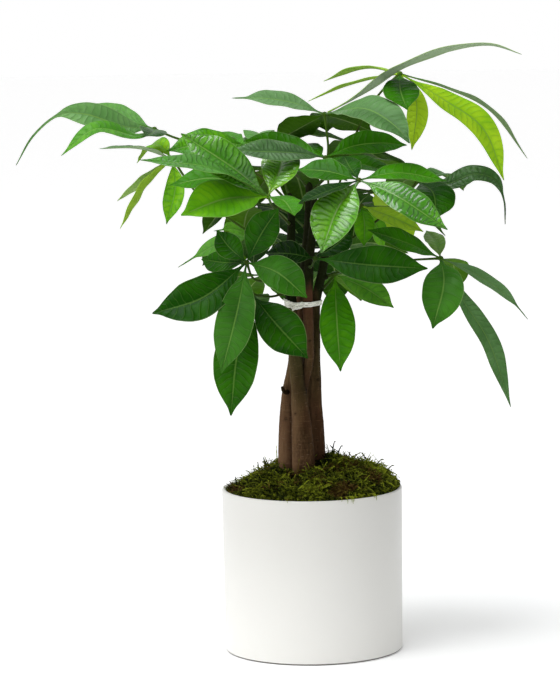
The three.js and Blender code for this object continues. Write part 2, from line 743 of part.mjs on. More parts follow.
function trunkSolid(stems) {
  const bare = stems.map((name) => stemSolid(name));
  const knobs = LEAVES.filter((leaf) => stems.includes(leaf.stem)).map(knobSolid);
  return [...bare, ...knobs].reduce((whole, piece) => whole.add(piece));
}

place("pot", potGeometry(), "pot");
place("soil", geometryOf(soilSolid()), "soil");
place("moss", geometryOf(mossSolid()), "moss");
place("trunk_front", geometryOf(trunkSolid(["front", "frontFork"])), "stem");
place("trunk_left", geometryOf(trunkSolid(["left"])), "stem");
place("trunk_right", geometryOf(trunkSolid(["right"])), "stem");
place("tie", geometryOf(tieSolid()), "tie");
for (const leaf of LEAVES) {
  place(leaf.name, geometryOf(leafSolid(leaf)), "leaf");
}

export default tree;
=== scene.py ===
"""A potted money tree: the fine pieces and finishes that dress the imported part.

Lengths in the tables are millimetres, in the part's frame: +Z up, the front of the tree towards -Y.
"""
import math
from collections import namedtuple

import bpy
import numpy as np
from mathutils import Matrix, Vector, noise


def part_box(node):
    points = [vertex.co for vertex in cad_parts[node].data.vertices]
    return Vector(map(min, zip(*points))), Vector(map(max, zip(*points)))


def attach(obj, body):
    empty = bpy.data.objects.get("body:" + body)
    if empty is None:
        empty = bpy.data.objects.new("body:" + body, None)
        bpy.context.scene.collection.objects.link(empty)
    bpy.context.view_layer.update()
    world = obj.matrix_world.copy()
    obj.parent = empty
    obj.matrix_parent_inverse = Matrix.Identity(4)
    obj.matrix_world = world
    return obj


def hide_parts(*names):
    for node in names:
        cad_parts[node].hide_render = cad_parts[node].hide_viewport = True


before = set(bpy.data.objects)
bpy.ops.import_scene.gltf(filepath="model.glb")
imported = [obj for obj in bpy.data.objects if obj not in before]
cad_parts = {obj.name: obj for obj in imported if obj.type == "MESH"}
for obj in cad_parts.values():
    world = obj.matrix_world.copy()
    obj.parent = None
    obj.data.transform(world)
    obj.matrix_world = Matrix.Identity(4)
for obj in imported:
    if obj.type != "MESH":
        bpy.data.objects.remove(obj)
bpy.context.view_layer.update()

bl_info = {
    "name": "Potted money tree",
    "version": (1, 0, 0),
    "blender": (4, 5, 0),
    "location": "3D View > Sidebar > Money tree",
    "description": "Builds the fine leaves, bark, moss, pot and tie of a potted money tree",
    "category": "Object",
}

POT_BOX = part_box("pot")
TIE_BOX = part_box("tie")
MM = 0.001

# A leaf hangs from a height on its stem by a stalk through these places, up to its hub.
Leaf = namedtuple("Leaf", "name stem height stalk hub leaflets")
# A leaflet runs from the hub to its tip. Tone goes from -0.1 deep in the crown to 1 when young, where tones
# under 0 are painted shade for leaflets deep in the crown;
# sheen is a pale reflection painted into its colour, relief its quilting, and tail the share of its length
# that is a thin tip.
Leaflet = namedtuple("Leaflet", "to width face tone sheen relief tail", defaults=(0, 0.3, 0))

# Each stem is a list of places (x, y, z, radius) from its foot to its tip.
STEMS = {
    "front": [
        (-7.5, -11.5, 122, 11.8), (-8, -11.5, 187, 11.5), (-9, -11, 215, 10.4),
        (-11.1, -10, 250, 8.3), (-12.6, -9.5, 272, 7.5), (-14.5, -9, 292, 6.6),
        (-16.8, -7.5, 320, 6), (-18, -5.5, 348, 5.5), (-19, -4, 385, 5),
        (-17, -3, 420, 4.2), (-16, -3, 455, 3.2),
    ],
    "front_fork": [
        (-8.5, -9.5, 262, 5), (-5, -8, 276, 5), (-1.5, -6.5, 292, 4.9),
        (-1, -6, 320, 5), (-1.6, -6, 348, 5), (0, -4.5, 385, 4.8),
        (4, -4, 420, 4), (7, -4, 460, 3),
    ],
    "left": [
        (-22.6, 8, 122, 11), (-22.6, 8, 187, 10.8), (-22.6, 8.2, 215, 9.8),
        (-20.6, 9, 252, 8.4), (-16.6, 9.8, 275, 8), (-12, 10.2, 300, 7.4),
        (-8, 10.6, 330, 6.6), (-6.5, 10.8, 350, 6.2), (-3, 12, 385, 5.4),
        (0, 14, 420, 4.5), (2, 16, 468, 3.2),
    ],
    "right": [
        (4.2, 10.2, 122, 10.4), (4.2, 10.2, 187, 10.2), (4, 9.8, 215, 9.2),
        (3.4, 9, 252, 7.7), (3.8, 7.4, 272, 6.8), (4.2, 6.8, 292, 6),
        (5.4, 6.4, 320, 5.3), (6.4, 6, 348, 4.8), (14, 4.5, 382, 4.3),
        (20, 6, 415, 3.6), (26, 8, 450, 2.8),
    ],
}
LEAVES = [
    Leaf("leaf_01", "front", 447, [(-40, 2, 470), (-85, 8, 500), (-130, 10, 514)], (-151, 10, 523), [
        Leaflet([(-180, 18, 533), (-214, 16, 540), (-247, 10, 538)], 24, (0, -0.5, 0.9), 0.42, sheen=0.3),
        Leaflet(
            [(-180, -6, 527), (-218, -12, 540), (-243, -14, 540), (-269, -14, 520), (-287, -14, 491)],
            27, (-0.1, -0.9, 0.45), 0.52, sheen=0.55, tail=0.36,
        ),
        Leaflet([(-190, 40, 534), (-214, 62, 547)], 28, (-0.3, -0.75, 0.6), 0.42, sheen=0.3),
        Leaflet(
            [(-166, -35, 519), (-206, -62, 528), (-238, -80, 504)],
            22, (-0.2, -0.6, 0.75), 0.52, sheen=0.12,
        ),
        Leaflet([(-151, -30, 522), (-157, -58, 520)], 28, (0.2, -0.5, 0.85), 0.05),
    ]),
    Leaf("leaf_02", "front", 398, [(-48, -14, 416), (-69, -18, 429), (-109, -20, 461)], (-133, -20, 496), [
        Leaflet([(-165, -52, 508), (-201, -78, 510)], 24, (0, 0, 1), 0.4, sheen=0.8),
        Leaflet([(-150, 10, 508), (-170, 34, 488)], 24, (-0.3, -0.2, 0.9), 0.7),
        Leaflet([(-162, -30, 473), (-187, -38, 456)], 22, (-0.6, 0.4, 0.7), 0.95, sheen=0.55),
        Leaflet([(-158, -52, 471), (-183, -74, 432)], 26, (-0.6, 0.4, 0.65), 0.92, sheen=0.12),
        Leaflet([(-130, -32, 468), (-139, -44, 433)], 21, (-0.2, -0.9, 0.3), 0.7, relief=0.45),
    ]),
    Leaf("leaf_03", "front", 426, [(-25, -26, 436), (-35, -54, 450)], (-39, -78, 461), [
        Leaflet([(-80, -112, 462), (-122, -135, 449)], 48, (0.05, -0.72, 0.68), 0.62, relief=0.12),
        Leaflet([(-72, -92, 490), (-122, -90, 524)], 40, (-0.1, -0.75, 0.65), 0.53, sheen=0.2, relief=0.9),
        Leaflet([(-92, -118, 492), (-160, -132, 502)], 34, (-0.1, -0.4, 0.9), 0.4, sheen=0.18, relief=0.6),
        Leaflet([(-88, -74, 479), (-134, -68, 473)], 36, (-0.2, -0.6, 0.75), 0.38),
        Leaflet([(-28, -48, 484), (-22, -10, 506)], 38, (0, -0.8, 0.6), 0.72, sheen=0.3, relief=1.0),
        Leaflet([(-25, -108, 460), (-14, -148, 448)], 30, (0.2, -0.45, 0.85), 0.42),
    ]),
    Leaf("leaf_04", "front", 452, [(-26, 12, 474), (-40, 22, 490)], (-57, 26, 504), [
        Leaflet([(-92, 2, 509), (-138, -14, 503)], 34, (0, -0.75, 0.65), 0.5, relief=0.5),
        Leaflet([(-76, 46, 505), (-92, 80, 515)], 34, (0, -0.55, 0.8), 0.42, relief=0.5),
        Leaflet([(-92, 58, 505), (-126, 88, 488)], 34, (-0.4, 0.1, 0.9), 0.35),
        Leaflet([(-68, 72, 508), (-86, 118, 488)], 34, (0, 0.3, 0.95), 0.4),
        Leaflet([(-48, 66, 514), (-50, 108, 507)], 32, (0, 0.2, 0.95), 0.45, sheen=0.3),
    ]),
    Leaf("leaf_05", "front_fork", 456, [(17, 4, 478), (21, 11, 500), (19, 14, 524)], (18, 15, 535), [
        Leaflet(
            [(-14, 10, 547), (-42, 4, 552), (-73, 0, 553)],
            26, (0.1, -0.55, 0.8), 0.4, sheen=0.7, tail=0.1,
        ),
        Leaflet([(-6, 50, 520), (-30, 84, 505)], 34, (-0.1, 0.85, 0.5), 0.16),
        Leaflet([(40, 50, 526), (66, 82, 514)], 34, (0.1, 0.85, 0.5), 0.18),
        Leaflet(
            [(53, -2, 554), (92, -18, 579), (141, -30, 597), (180, -36, 602), (210, -38, 593)],
            30, (-0.1, 0.2, 0.95), 0.8, sheen=1,
        ),
        Leaflet([(58, -38, 542), (87, -70, 525), (98, -85, 511)], 41, (0, -0.65, 0.75), 0.2, sheen=0.36),
        Leaflet([(20, 60, 530), (22, 110, 512)], 34, (0, 0.4, 0.9), 0.3),
    ]),
    Leaf("leaf_06", "right", 446, [(33, 26, 468), (44, 42, 500), (60, 36, 535), (80, 20, 562)],
         (93, 12, 574), [
        Leaflet([(62, 34, 579), (18, 52, 566)], 26, (0, 0.12, 1), 1, sheen=0.3),
        Leaflet([(68, 12, 570), (38, 14, 562), (2, 16, 548)], 22, (0, 0.1, 1), 1, sheen=0.2),
        Leaflet([(92, -20, 560), (97, -58, 542)], 36, (0, -0.6, 0.8), 0.15),
        Leaflet([(108, -4, 548), (103, -14, 500)], 23, (0.4, -0.85, 0.3), 1),
        Leaflet([(134, 6, 549), (174, 0, 519), (194, -6, 468)], 31, (0.35, -0.75, 0.55), 0.89),
        Leaflet([(140, 32, 558), (183, 40, 535), (221, 44, 486)], 28, (0.5, 0.1, 0.85), 0.5, sheen=0.55),
    ]),
    Leaf("leaf_07", "front_fork", 440, [(19, -14, 456), (20, -9, 478)], (18, -4, 493), [
        Leaflet([(46, 10, 503), (74, 20, 505), (100, 30, 502)], 31, (0.1, -0.7, 0.7), 0.3),
        Leaflet([(50, -22, 488), (86, -34, 478)], 32, (0.2, -0.4, 0.9), 0.18),
        Leaflet([(64, 26, 487), (108, 48, 474)], 34, (0.3, 0.2, 0.9), 0.25),
        Leaflet([(-10, 8, 501), (-40, 16, 507), (-63, 8, 510)], 30, (0, -0.7, 0.7), 0.29),
        Leaflet(
            [(-12, -34, 500), (-42, -54, 503), (-76, -64, 506)],
            32, (0, -0.65, 0.75), 0.12, sheen=0.52, relief=0.6,
        ),
        Leaflet([(-4, 54, 502), (-14, 104, 488)], 34, (0, 0.4, 0.9), 0.3),
    ]),
    Leaf("leaf_08", "right", 424, [(30, -30, 444), (42, -60, 462)], (49, -82, 476), [
        Leaflet([(27, -110, 450), (11, -126, 410)], 44, (-0.15, -0.9, 0.4), 0.62, sheen=0.42, relief=1.0),
        Leaflet([(82, -104, 463), (132, -120, 430)], 34, (0.1, -0.75, 0.65), 0.5, sheen=0.08, relief=1.0),
        Leaflet([(86, -78, 482), (134, -72, 473)], 30, (0, -0.5, 0.85), 0.34),
        Leaflet([(40, -54, 488), (36, -28, 496)], 24, (0, -0.6, 0.8), 0.02),
        Leaflet([(20, -74, 484), (-10, -64, 486)], 32, (0, -0.6, 0.8), 0.22),
        Leaflet([(20, -104, 468), (-10, -124, 458)], 26, (0, -0.2, 0.95), -0.06),
    ]),
    Leaf("leaf_09", "right", 398, [(40, 14, 409), (85, 24, 440)], (110, 26, 466), [
        Leaflet(
            [(138, 22, 463), (166, 17, 473), (186, 14, 467), (195, 12, 447), (196, 10, 423)],
            21, (0.4, -0.7, 0.6), 0.18, sheen=0.45, relief=0.6, tail=0.2,
        ),
        Leaflet([(124, 0, 456), (126, -24, 432)], 42, (0.3, -0.85, 0.4), 0.08, relief=0.35),
        Leaflet([(98, 60, 464), (94, 98, 442)], 34, (0, 0.4, 0.9), 0.25),
        Leaflet([(138, 62, 470), (160, 104, 450)], 34, (0.4, 0.3, 0.85), 0.25),
    ]),
    Leaf("leaf_10", "right", 372, [(40, 3, 382), (90, 0, 389)], (131, 0, 391), [
        Leaflet([(100, -16, 407), (58, -28, 423)], 28, (0, -0.65, 0.75), 0.22),
        Leaflet([(128, 32, 404), (120, 66, 413)], 20, (0, -0.6, 0.8), 0.85, sheen=0.6),
        Leaflet(
            [(168, 2, 373), (199, -2, 350), (217, -4, 329)],
            21, (0.4, -0.5, 0.75), 0.34, sheen=0.55, tail=0.12,
        ),
        Leaflet([(152, 2, 350), (178, 4, 307), (200, 6, 240)], 25, (0.6, -0.75, 0.3), 0.28, sheen=0.4),
        Leaflet([(132, -36, 368), (120, -52, 327)], 41, (0.05, -0.92, 0.4), 0.32, sheen=0.08),
        Leaflet([(146, 44, 380), (146, 82, 346)], 30, (0.2, 0.6, 0.75), 0.3),
    ]),
    Leaf("leaf_11", "front_fork", 384, [(3, -24, 388)], (6, -44, 397), [
        Leaflet([(54, -62, 392), (115, -70, 388)], 40, (0, -0.9, 0.45), 0.06, relief=0.25),
        Leaflet([(-18, -46, 402), (-43, -43, 403)], 30, (0, -0.7, 0.7), -0.1),
        Leaflet([(26, -30, 408), (42, -12, 420)], 26, (0, -0.8, 0.6), -0.05),
    ]),
    Leaf("leaf_12", "front", 378, [(-40, -28, 374), (-55, -48, 379)], (-61, -62, 396), [
        Leaflet([(-104, -80, 364), (-153, -86, 350)], 44, (-0.1, -0.9, 0.45), 0),
        Leaflet([(-71, -88, 350), (-87, -98, 292)], 37, (0, -0.98, 0.2), 0.22, sheen=0.08),
        Leaflet([(-32, -82, 388), (-3, -95, 364)], 36, (0.1, -0.9, 0.4), 0.24, sheen=0.05),
        Leaflet([(-46, -63, 424), (-29, -67, 449)], 34, (-0.1, -0.9, 0.4), 0.1),
        Leaflet([(-78, -50, 410), (-90, -42, 426)], 26, (0, -0.9, 0.4), 0.05),
        Leaflet([(-84, -40, 394), (-106, -22, 396)], 28, (0, -0.85, 0.5), 0.08),
    ]),
    Leaf("leaf_13", "front", 360, [(-38, -24, 358)], (-56, -42, 362), [
        Leaflet([(-71, -60, 310), (-79, -66, 246)], 44, (-0.1, -0.98, 0.2), 0.14),
        Leaflet([(-33, -64, 335), (-3, -78, 303)], 42, (0.05, -0.95, 0.3), 0.06),
        Leaflet([(-72, -20, 346), (-82, 2, 320)], 28, (-0.5, 0.2, 0.8), 0.1),
        Leaflet([(-54, 0, 352), (-54, 32, 332)], 30, (-0.1, 0.5, 0.85), 0.1),
    ]),
    Leaf("leaf_14", "left", 392, [(-26, 28, 404)], (-54, 46, 412), [
        Leaflet([(-92, 62, 402), (-132, 72, 379)], 23, (-0.3, -0.65, 0.7), 0.5, sheen=0.2, tail=0.2),
        Leaflet([(-84, 84, 400), (-108, 114, 376)], 34, (-0.3, 0.4, 0.85), 0.1),
        Leaflet([(-74, 34, 420), (-94, 20, 420)], 22, (0, -0.6, 0.8), 0.58, sheen=0.15, tail=0.2),
        Leaflet([(-54, 94, 402), (-56, 134, 374)], 36, (0, 0.6, 0.8), 0.05),
        Leaflet([(-30, 80, 406), (-16, 116, 382)], 30, (0.2, 0.5, 0.8), -0.04),
    ]),
    Leaf("leaf_15", "right", 412, [(40, 20, 430)], (54, 28, 442), [
        Leaflet([(56, 12, 426), (55, 2, 404)], 21, (0, -0.9, 0.4), 0.57),
        Leaflet([(68, 38, 422), (76, 48, 396)], 21, (0.3, -0.7, 0.5), 0.64),
        Leaflet([(84, 4, 432), (114, -2, 418)], 24, (0.2, -0.7, 0.65), 0.96, sheen=0.12),
        Leaflet([(82, 60, 434), (108, 92, 414)], 34, (0.3, 0.4, 0.85), 0.2),
        Leaflet([(50, 76, 438), (48, 120, 416)], 36, (0, 0.5, 0.85), 0.05),
    ]),
    Leaf("leaf_16", "right", 358, [(20, 18, 367)], (26, 24, 374), [
        Leaflet([(56, 14, 361), (84, 4, 342)], 28, (0.2, -0.85, 0.5), 0.56, sheen=0.12),
        Leaflet([(27, -1, 333), (30, -6, 280)], 36, (0.1, -0.98, 0.2), 0.5),
        Leaflet([(40, 66, 368), (54, 106, 338)], 36, (0.2, 0.6, 0.8), 0.3),
        Leaflet([(8, 62, 368), (-2, 100, 340)], 34, (-0.1, 0.6, 0.8), 0.1),
    ]),
    Leaf("leaf_17", "left", 458, [(12, 34, 464), (34, 62, 484)], (52, 84, 500), [
        Leaflet([(82, 90, 481), (110, 96, 462)], 30, (0.4, 0.2, 0.9), 0.15),
        Leaflet([(80, 120, 478), (104, 150, 446)], 40, (0.3, 0.5, 0.8), 0.15),
        Leaflet([(44, 128, 494), (38, 164, 460)], 42, (0, 0.6, 0.8), 0.25),
        Leaflet([(18, 106, 508), (-14, 118, 510)], 32, (-0.2, 0.4, 0.9), 0.1),
    ]),
    Leaf("leaf_18", "left", 460, [(-8, 48, 470)], (-16, 84, 474), [
        Leaflet([(-58, 100, 474), (-100, 104, 460)], 36, (-0.3, 0.3, 0.9), 0.15),
        Leaflet([(-42, 130, 462), (-62, 160, 426)], 42, (-0.2, 0.7, 0.75), 0.4),
        Leaflet([(-8, 136, 460), (0, 166, 420)], 42, (0, 0.75, 0.7), 0.2),
        Leaflet([(16, 106, 474), (42, 126, 460)], 32, (0.3, 0.5, 0.8), 0.02),
    ]),
    Leaf("leaf_19", "left", 420, [(-20, 52, 434), (-40, 84, 440)], (-56, 104, 440), [
        Leaflet([(-84, 130, 434), (-108, 146, 406)], 36, (-0.5, 0.5, 0.7), 0.1),
        Leaflet([(-64, 146, 420), (-68, 168, 370)], 42, (-0.2, 0.9, 0.5), 0.4),
        Leaflet([(-28, 136, 428), (-2, 160, 394)], 44, (0.3, 0.7, 0.7), -0.06),
        Leaflet([(-80, 98, 438), (-98, 94, 431)], 26, (-0.3, 0, 0.9), 0.1),
    ]),
    Leaf("leaf_20", "left", 436, [(20, 52, 446), (46, 88, 454)], (66, 110, 450), [
        Leaflet([(104, 122, 438), (142, 124, 402)], 38, (0.6, 0.3, 0.75), 0.1),
        Leaflet([(88, 146, 428), (102, 166, 380)], 42, (0.4, 0.8, 0.5), 1),
        Leaflet([(54, 148, 432), (46, 168, 386)], 40, (-0.1, 0.9, 0.5), 0.05),
        Leaflet([(36, 126, 444), (14, 132, 432)], 28, (-0.3, 0.5, 0.85), 0.02),
    ]),
    Leaf("leaf_21", "left", 384, [(8, 46, 392), (18, 82, 396)], (24, 112, 392), [
        Leaflet([(66, 126, 396), (104, 132, 384)], 38, (0.3, 0.6, 0.75), 0.1),
        Leaflet([(28, 138, 364), (28, 146, 328)], 36, (0.05, 0.95, 0.35), 0.05),
        Leaflet([(-2, 134, 368), (-18, 142, 328)], 36, (-0.2, 0.95, 0.35), -0.06),
        Leaflet([(-12, 122, 396), (-44, 126, 378)], 36, (-0.4, 0.6, 0.7), -0.12),
    ]),
    Leaf("leaf_22", "left", 370, [(-22, 40, 372), (-36, 66, 372)], (-48, 92, 368), [
        Leaflet([(-84, 104, 364), (-114, 110, 350)], 34, (-0.3, 0.5, 0.8), 0.15),
        Leaflet([(-62, 120, 348), (-68, 134, 320)], 36, (-0.2, 0.85, 0.5), 0.2),
        Leaflet([(-22, 112, 354), (-4, 124, 328)], 34, (0.1, 0.85, 0.5), 0.1),
    ]),
]

# The swollen foot of a stalk, the gap above it, and how far the stalk first runs straight
KNOB_LENGTH = 3
KNOB_RADIUS = 2.7
SEAT_GAP = 0.4
STALK_LEAD = 5
STALK_SIDES = 12
HUB_RADII = (2.9, 2.9, 2.6)

# A leaflet's half width along it, how its halves fold up, and how its side veins lie
WIDTH_KNOTS = (0, 0.018, 0.06, 0.12, 0.2, 0.3, 0.42, 0.55, 0.68, 0.8, 0.88, 0.94, 1)
WIDTHS = (0.05, 0.05, 0.055, 0.13, 0.39, 0.69, 0.9, 1, 0.93, 0.68, 0.4, 0.17, 0.03)
MIN_HALF_WIDTH = 0.9
BLADE_START = 0.018
BLADE_FOLD = 0.2
VEIN_OFFSET = 0.45
PUFF_POWER = 2.4
QUILTED = 0.5

# The bark's grid: distance of its rings, and corners round a stem
RING_STEP = 1.3
STEM_SIDES = 40
# How reddish each stem's bark is, and how much more of the dry film it has
STEM_TINTS = {"front": 0.15, "front_fork": 0.85, "left": 0.74, "right": 0.35}
STEM_FILM = {"front": 0.0, "front_fork": 0.0, "left": 0.38, "right": 0.0}
# Old leaf scars as (stem, height, angle round it, size)
SCARS = (
    ("front", 300, -1.2, 3.0), ("right", 272, -1.0, 3.0), ("right", 300, -1.6, 2.6),
    ("left", 262, -2.6, 3.2), ("left", 232, -1.9, 2.2), ("front", 240, -2.2, 2.0),
    ("front", 214, 0.6, 2.4), ("right", 226, 0.8, 2.6), ("left", 290, 2.4, 2.8),
    ("right", 250, 1.9, 2.6), ("front_fork", 312, -1.4, 2.2), ("left", 216, 1.8, 3.0),
    ("front", 366, -1.9, 2.4), ("front", 330, -2.8, 2.2),
)

# The mound of moss, with its x and y in shares of its radius
MOSS_RISE = 26
MOSS_BELOW_RIM = 1.5
MOSS_SINK = 4.5
MOSS_TUFTS = 210
# Hummocks and hollows as (rise, x, reach along x, y, reach along y)
HUMMOCKS = (
    (10, 0.87, 0.17, 0, math.inf), (-5, -0.86, 0.13, 0, math.inf), (6, 0.22, 0.12, 0.1, 0.2),
    (3, -0.6, 0.1, 0.1, 0.3), (5, 0.38, 0.28, 0.3, 0.3), (6, -0.42, 0.1, 0.2, 0.25),
)
# Brown patches as (x, y, reach)
BROWN_PATCHES = (
    (-0.93, -0.15, 0.18), (-0.9, 0.1, 0.16), (-0.62, 0.12, 0.13), (0.28, -0.72, 0.17), (0.65, -0.3, 0.14),
    (-0.3, 0.75, 0.2), (0.45, 0.7, 0.16), (-0.15, -0.5, 0.12), (-0.1, -0.3, 0.12), (0.14, -0.16, 0.1),
    (0.42, -0.1, 0.12),
)
# Shoots that hang over the rim as (angle round the pot, how far below the rim, how far aside)
SPILLS = (
    (-1.2, 1.8, 1.5), (-1.18, 3.4, -0.8), (-1.15, 2.6, 1.2), (-1.13, 4.2, 0.6), (-1.1, 2.0, -1.4),
    (-1.24, 1.2, -1.6), (-0.82, 3.8, 1.0), (-0.8, 2.2, -1.2), (-0.84, 1.4, 0.4), (-1.86, 1.4, 1.0),
)
# Loose sprigs as (x, y, height, lean to the right, lean to the back, how fresh)
SPRIGS = (
    (0.25, 0.2, 15, 0.25, 0.1, 0.0), (0.31, 0.16, 14, 0.5, -0.2, 0.0), (-0.53, 0.15, 15, -0.35, 0.0, 0.15),
    (-0.88, 0.02, 12, -0.2, -0.1, 0.0), (0.74, -0.05, 12, 1.0, 0.1, 0.3), (0.88, 0.05, 9, 1.1, 0.1, 0.4),
    (-0.62, 0.05, 13, -0.1, 0.1, 0.35), (0.5, 0.25, 9, 0.4, 0.2, 0.5),
)
SOIL_COLOURS = (
    (0.3, (0.02, 0.012, 0.008)), (0.6, (0.07, 0.045, 0.028)), (0.8, (0.15, 0.1, 0.065)),
)

# The pot in metres: its wall, how much narrower its foot is, the band at its foot painted dark as contact
# shade, and the height where the painted shade that darkens the glaze towards the rim is full
POT_WALL = 0.0036
POT_TAPER = 0.0011
FOOT_SHADE_BAND = (0.0010, 0.0020)
RIM_SHADE_HEIGHT = 0.165
POT_SIDES = 176
# The pot in millimetres: its rim, its rounded lip and the floor inside it, and the moss within it
RIM_HEIGHT = POT_BOX[1][2] / MM
RIM_RADIUS = POT_BOX[1][0] / MM
LIP_DROP = 1.7
POT_FLOOR = 6
MOSS_RADIUS = (POT_BOX[1][0] - POT_WALL) / MM - 0.6

# The twisted ends of the tie as (places, turns, seed)
TWISTS = (
    ([(-6, -13.4, 350), (-13, -15.2, 348.5), (-20, -14.6, 351), (-26, -12, 354)], 3.2, 2.0),
    ([(-8, -13.6, 348), (-13, -15.4, 346), (-17, -15.6, 343.4)], 1.6, 3.0),
    ([(-7, -14.0, 346.6), (-12, -15.9, 345), (-18, -15.2, 346.2)], 1.2, 5.0),
)

# The dark stub on the left stem
STUB = ((-23, 2, 259), (-26.4, -3.4, 260), (-28.6, -3.6, 265.5))
STUB_RADII = (2.6, 2.3, 1.9, 1.8, 1.7, 1.2)

# The materials of a leaf's piece, in their order
UPPER, LOWER, STALK = 0, 1, 2

# The floor in metres
FLOOR_RADIUS = 14.0
FLOOR_SIDES = 96

# The kind of a number's socket, and where most of a soft random value lies
NUMBER = "NodeSocketFloat"
NOISE_RANGE = (0.3, 0.7)
# A full turn, as the waves of the leaflets count it
FULL_TURN = 6.283


# Settings


def length_setting(name, description, default):
    """A setting that holds a length in metres."""
    return bpy.props.FloatProperty(
        name=name, description=description, default=default, unit="LENGTH", subtype="DISTANCE",
    )


def colour_setting(name, description, default):
    """A setting that holds a colour."""
    return bpy.props.FloatVectorProperty(
        name=name, description=description, default=default, subtype="COLOR", size=3,
    )


def angle_setting(name, description, default):
    """A setting that holds an angle in radians."""
    return bpy.props.FloatProperty(
        name=name, description=description, default=default, unit="ROTATION", subtype="ANGLE",
    )


def count_setting(name, description, default):
    """A setting that holds a whole number."""
    return bpy.props.IntProperty(name=name, description=description, default=default, min=1)


def power_setting(name, description, default):
    """A setting that holds the power of a light."""
    return bpy.props.FloatProperty(name=name, description=description, default=default, unit="POWER")


def share_setting(name, description, default):
    """A setting that holds a share or a brightness, mostly from 0 to 1."""
    return bpy.props.FloatProperty(name=name, description=description, default=default, subtype="FACTOR")


class PotSettings(bpy.types.PropertyGroup):
    """Sizes and glaze of the pot"""
    rim_radius: length_setting("Rim radius", "Outer radius at the rim", POT_BOX[1][0])
    foot_radius: length_setting("Foot radius", "Outer radius just above the foot", POT_BOX[1][0] - POT_TAPER)
    height: length_setting("Height", "Height of the rim above the floor", POT_BOX[1][2])
    wall: length_setting("Wall", "Thickness of the wall", POT_WALL)
    glaze: colour_setting("Glaze", "Colour of the glaze", (0.825, 0.815, 0.778))
    worn_glaze: colour_setting("Glaze blotches", "Colour of its faint blotches", (0.795, 0.785, 0.76))
    # A dark band at the foot, painted contact shade where the pot meets the floor
    foot_shade: colour_setting("Foot ring", "Colour of the bare dark clay at the foot", (0.07, 0.063, 0.05))


class StemSettings(bpy.types.PropertyGroup):
    """Bark of the bound stems"""
    old_bark: colour_setting("Old bark", "Colour of the bark near the foot", (0.034, 0.018, 0.006))
    pale_bark: colour_setting("Pale bark", "Colour of its weathered ridges", (0.072, 0.040, 0.015))
    red_bark: colour_setting("Reddish bark", "Colour of its reddish parts", (0.088, 0.036, 0.019))
    # Also painted as a highlight on the side of the stems where the key light falls
    film: colour_setting("Bark film", "Colour of the dry film on the bark", (0.2, 0.116, 0.060))
    crack: colour_setting("Cracks", "Colour in the cracks and rings", (0.014, 0.008, 0.004))
    # Dark scars of the bark's own, and painted shade where the stems meet
    scar_and_shade_colour: colour_setting("Crevices", "Colour of the scars and where stems meet", (0.010, 0.005, 0.002))
    lenticel: colour_setting("Lenticels", "Colour of the small pale dashes", (0.23, 0.15, 0.095))
    olive_bark: colour_setting("Olive bark", "Bark just below the tie", (0.045, 0.048, 0.014))
    # Young green bark, darkened near black as painted shade under the crown
    crown_shade_bark: colour_setting("Green bark", "Young bark in the crown", (0.0035, 0.0095, 0.0012))
    unevenness: length_setting("Unevenness", "How far the bark stands in and out", 0.00045)


class MossSettings(bpy.types.PropertyGroup):
    """The mat of moss"""
    shoots: count_setting("Shoots", "Short shoots over the mat", 6400)
    long_shoots: count_setting("Long shoots", "Longer loose shoots", 5200)
    bold_shoots: count_setting("Bold shoots", "The longest and palest shoots", 260)
    shoot_length: length_setting("Shoot length", "Usual length of a short shoot", 0.0095)
    dead: colour_setting("Dead moss", "Colour of the brown patches", (0.075, 0.036, 0.010))
    deep: colour_setting("Deep moss", "Colour low in the mat", (0.007, 0.013, 0.0015))
    fresh: colour_setting("Fresh moss", "Colour of the tips", (0.24, 0.285, 0.018))


class TieSettings(bpy.types.PropertyGroup):
    """The wrapped wire that holds the stems"""
    wrap: colour_setting("Wrap", "Colour of its wrapping", (0.95, 0.935, 0.855))
    worn_wrap: colour_setting("Wrap blotches", "Colour where the wrapping is worn", (0.80, 0.77, 0.69))
    # Painted shade in the creases of the wrapping
    crease: colour_setting("Crease", "Colour in the creases of the wrapping", (0.30, 0.31, 0.22))
    ribbon_height: length_setting("Ribbon height", "Width of the flat ribbon", 0.0030)


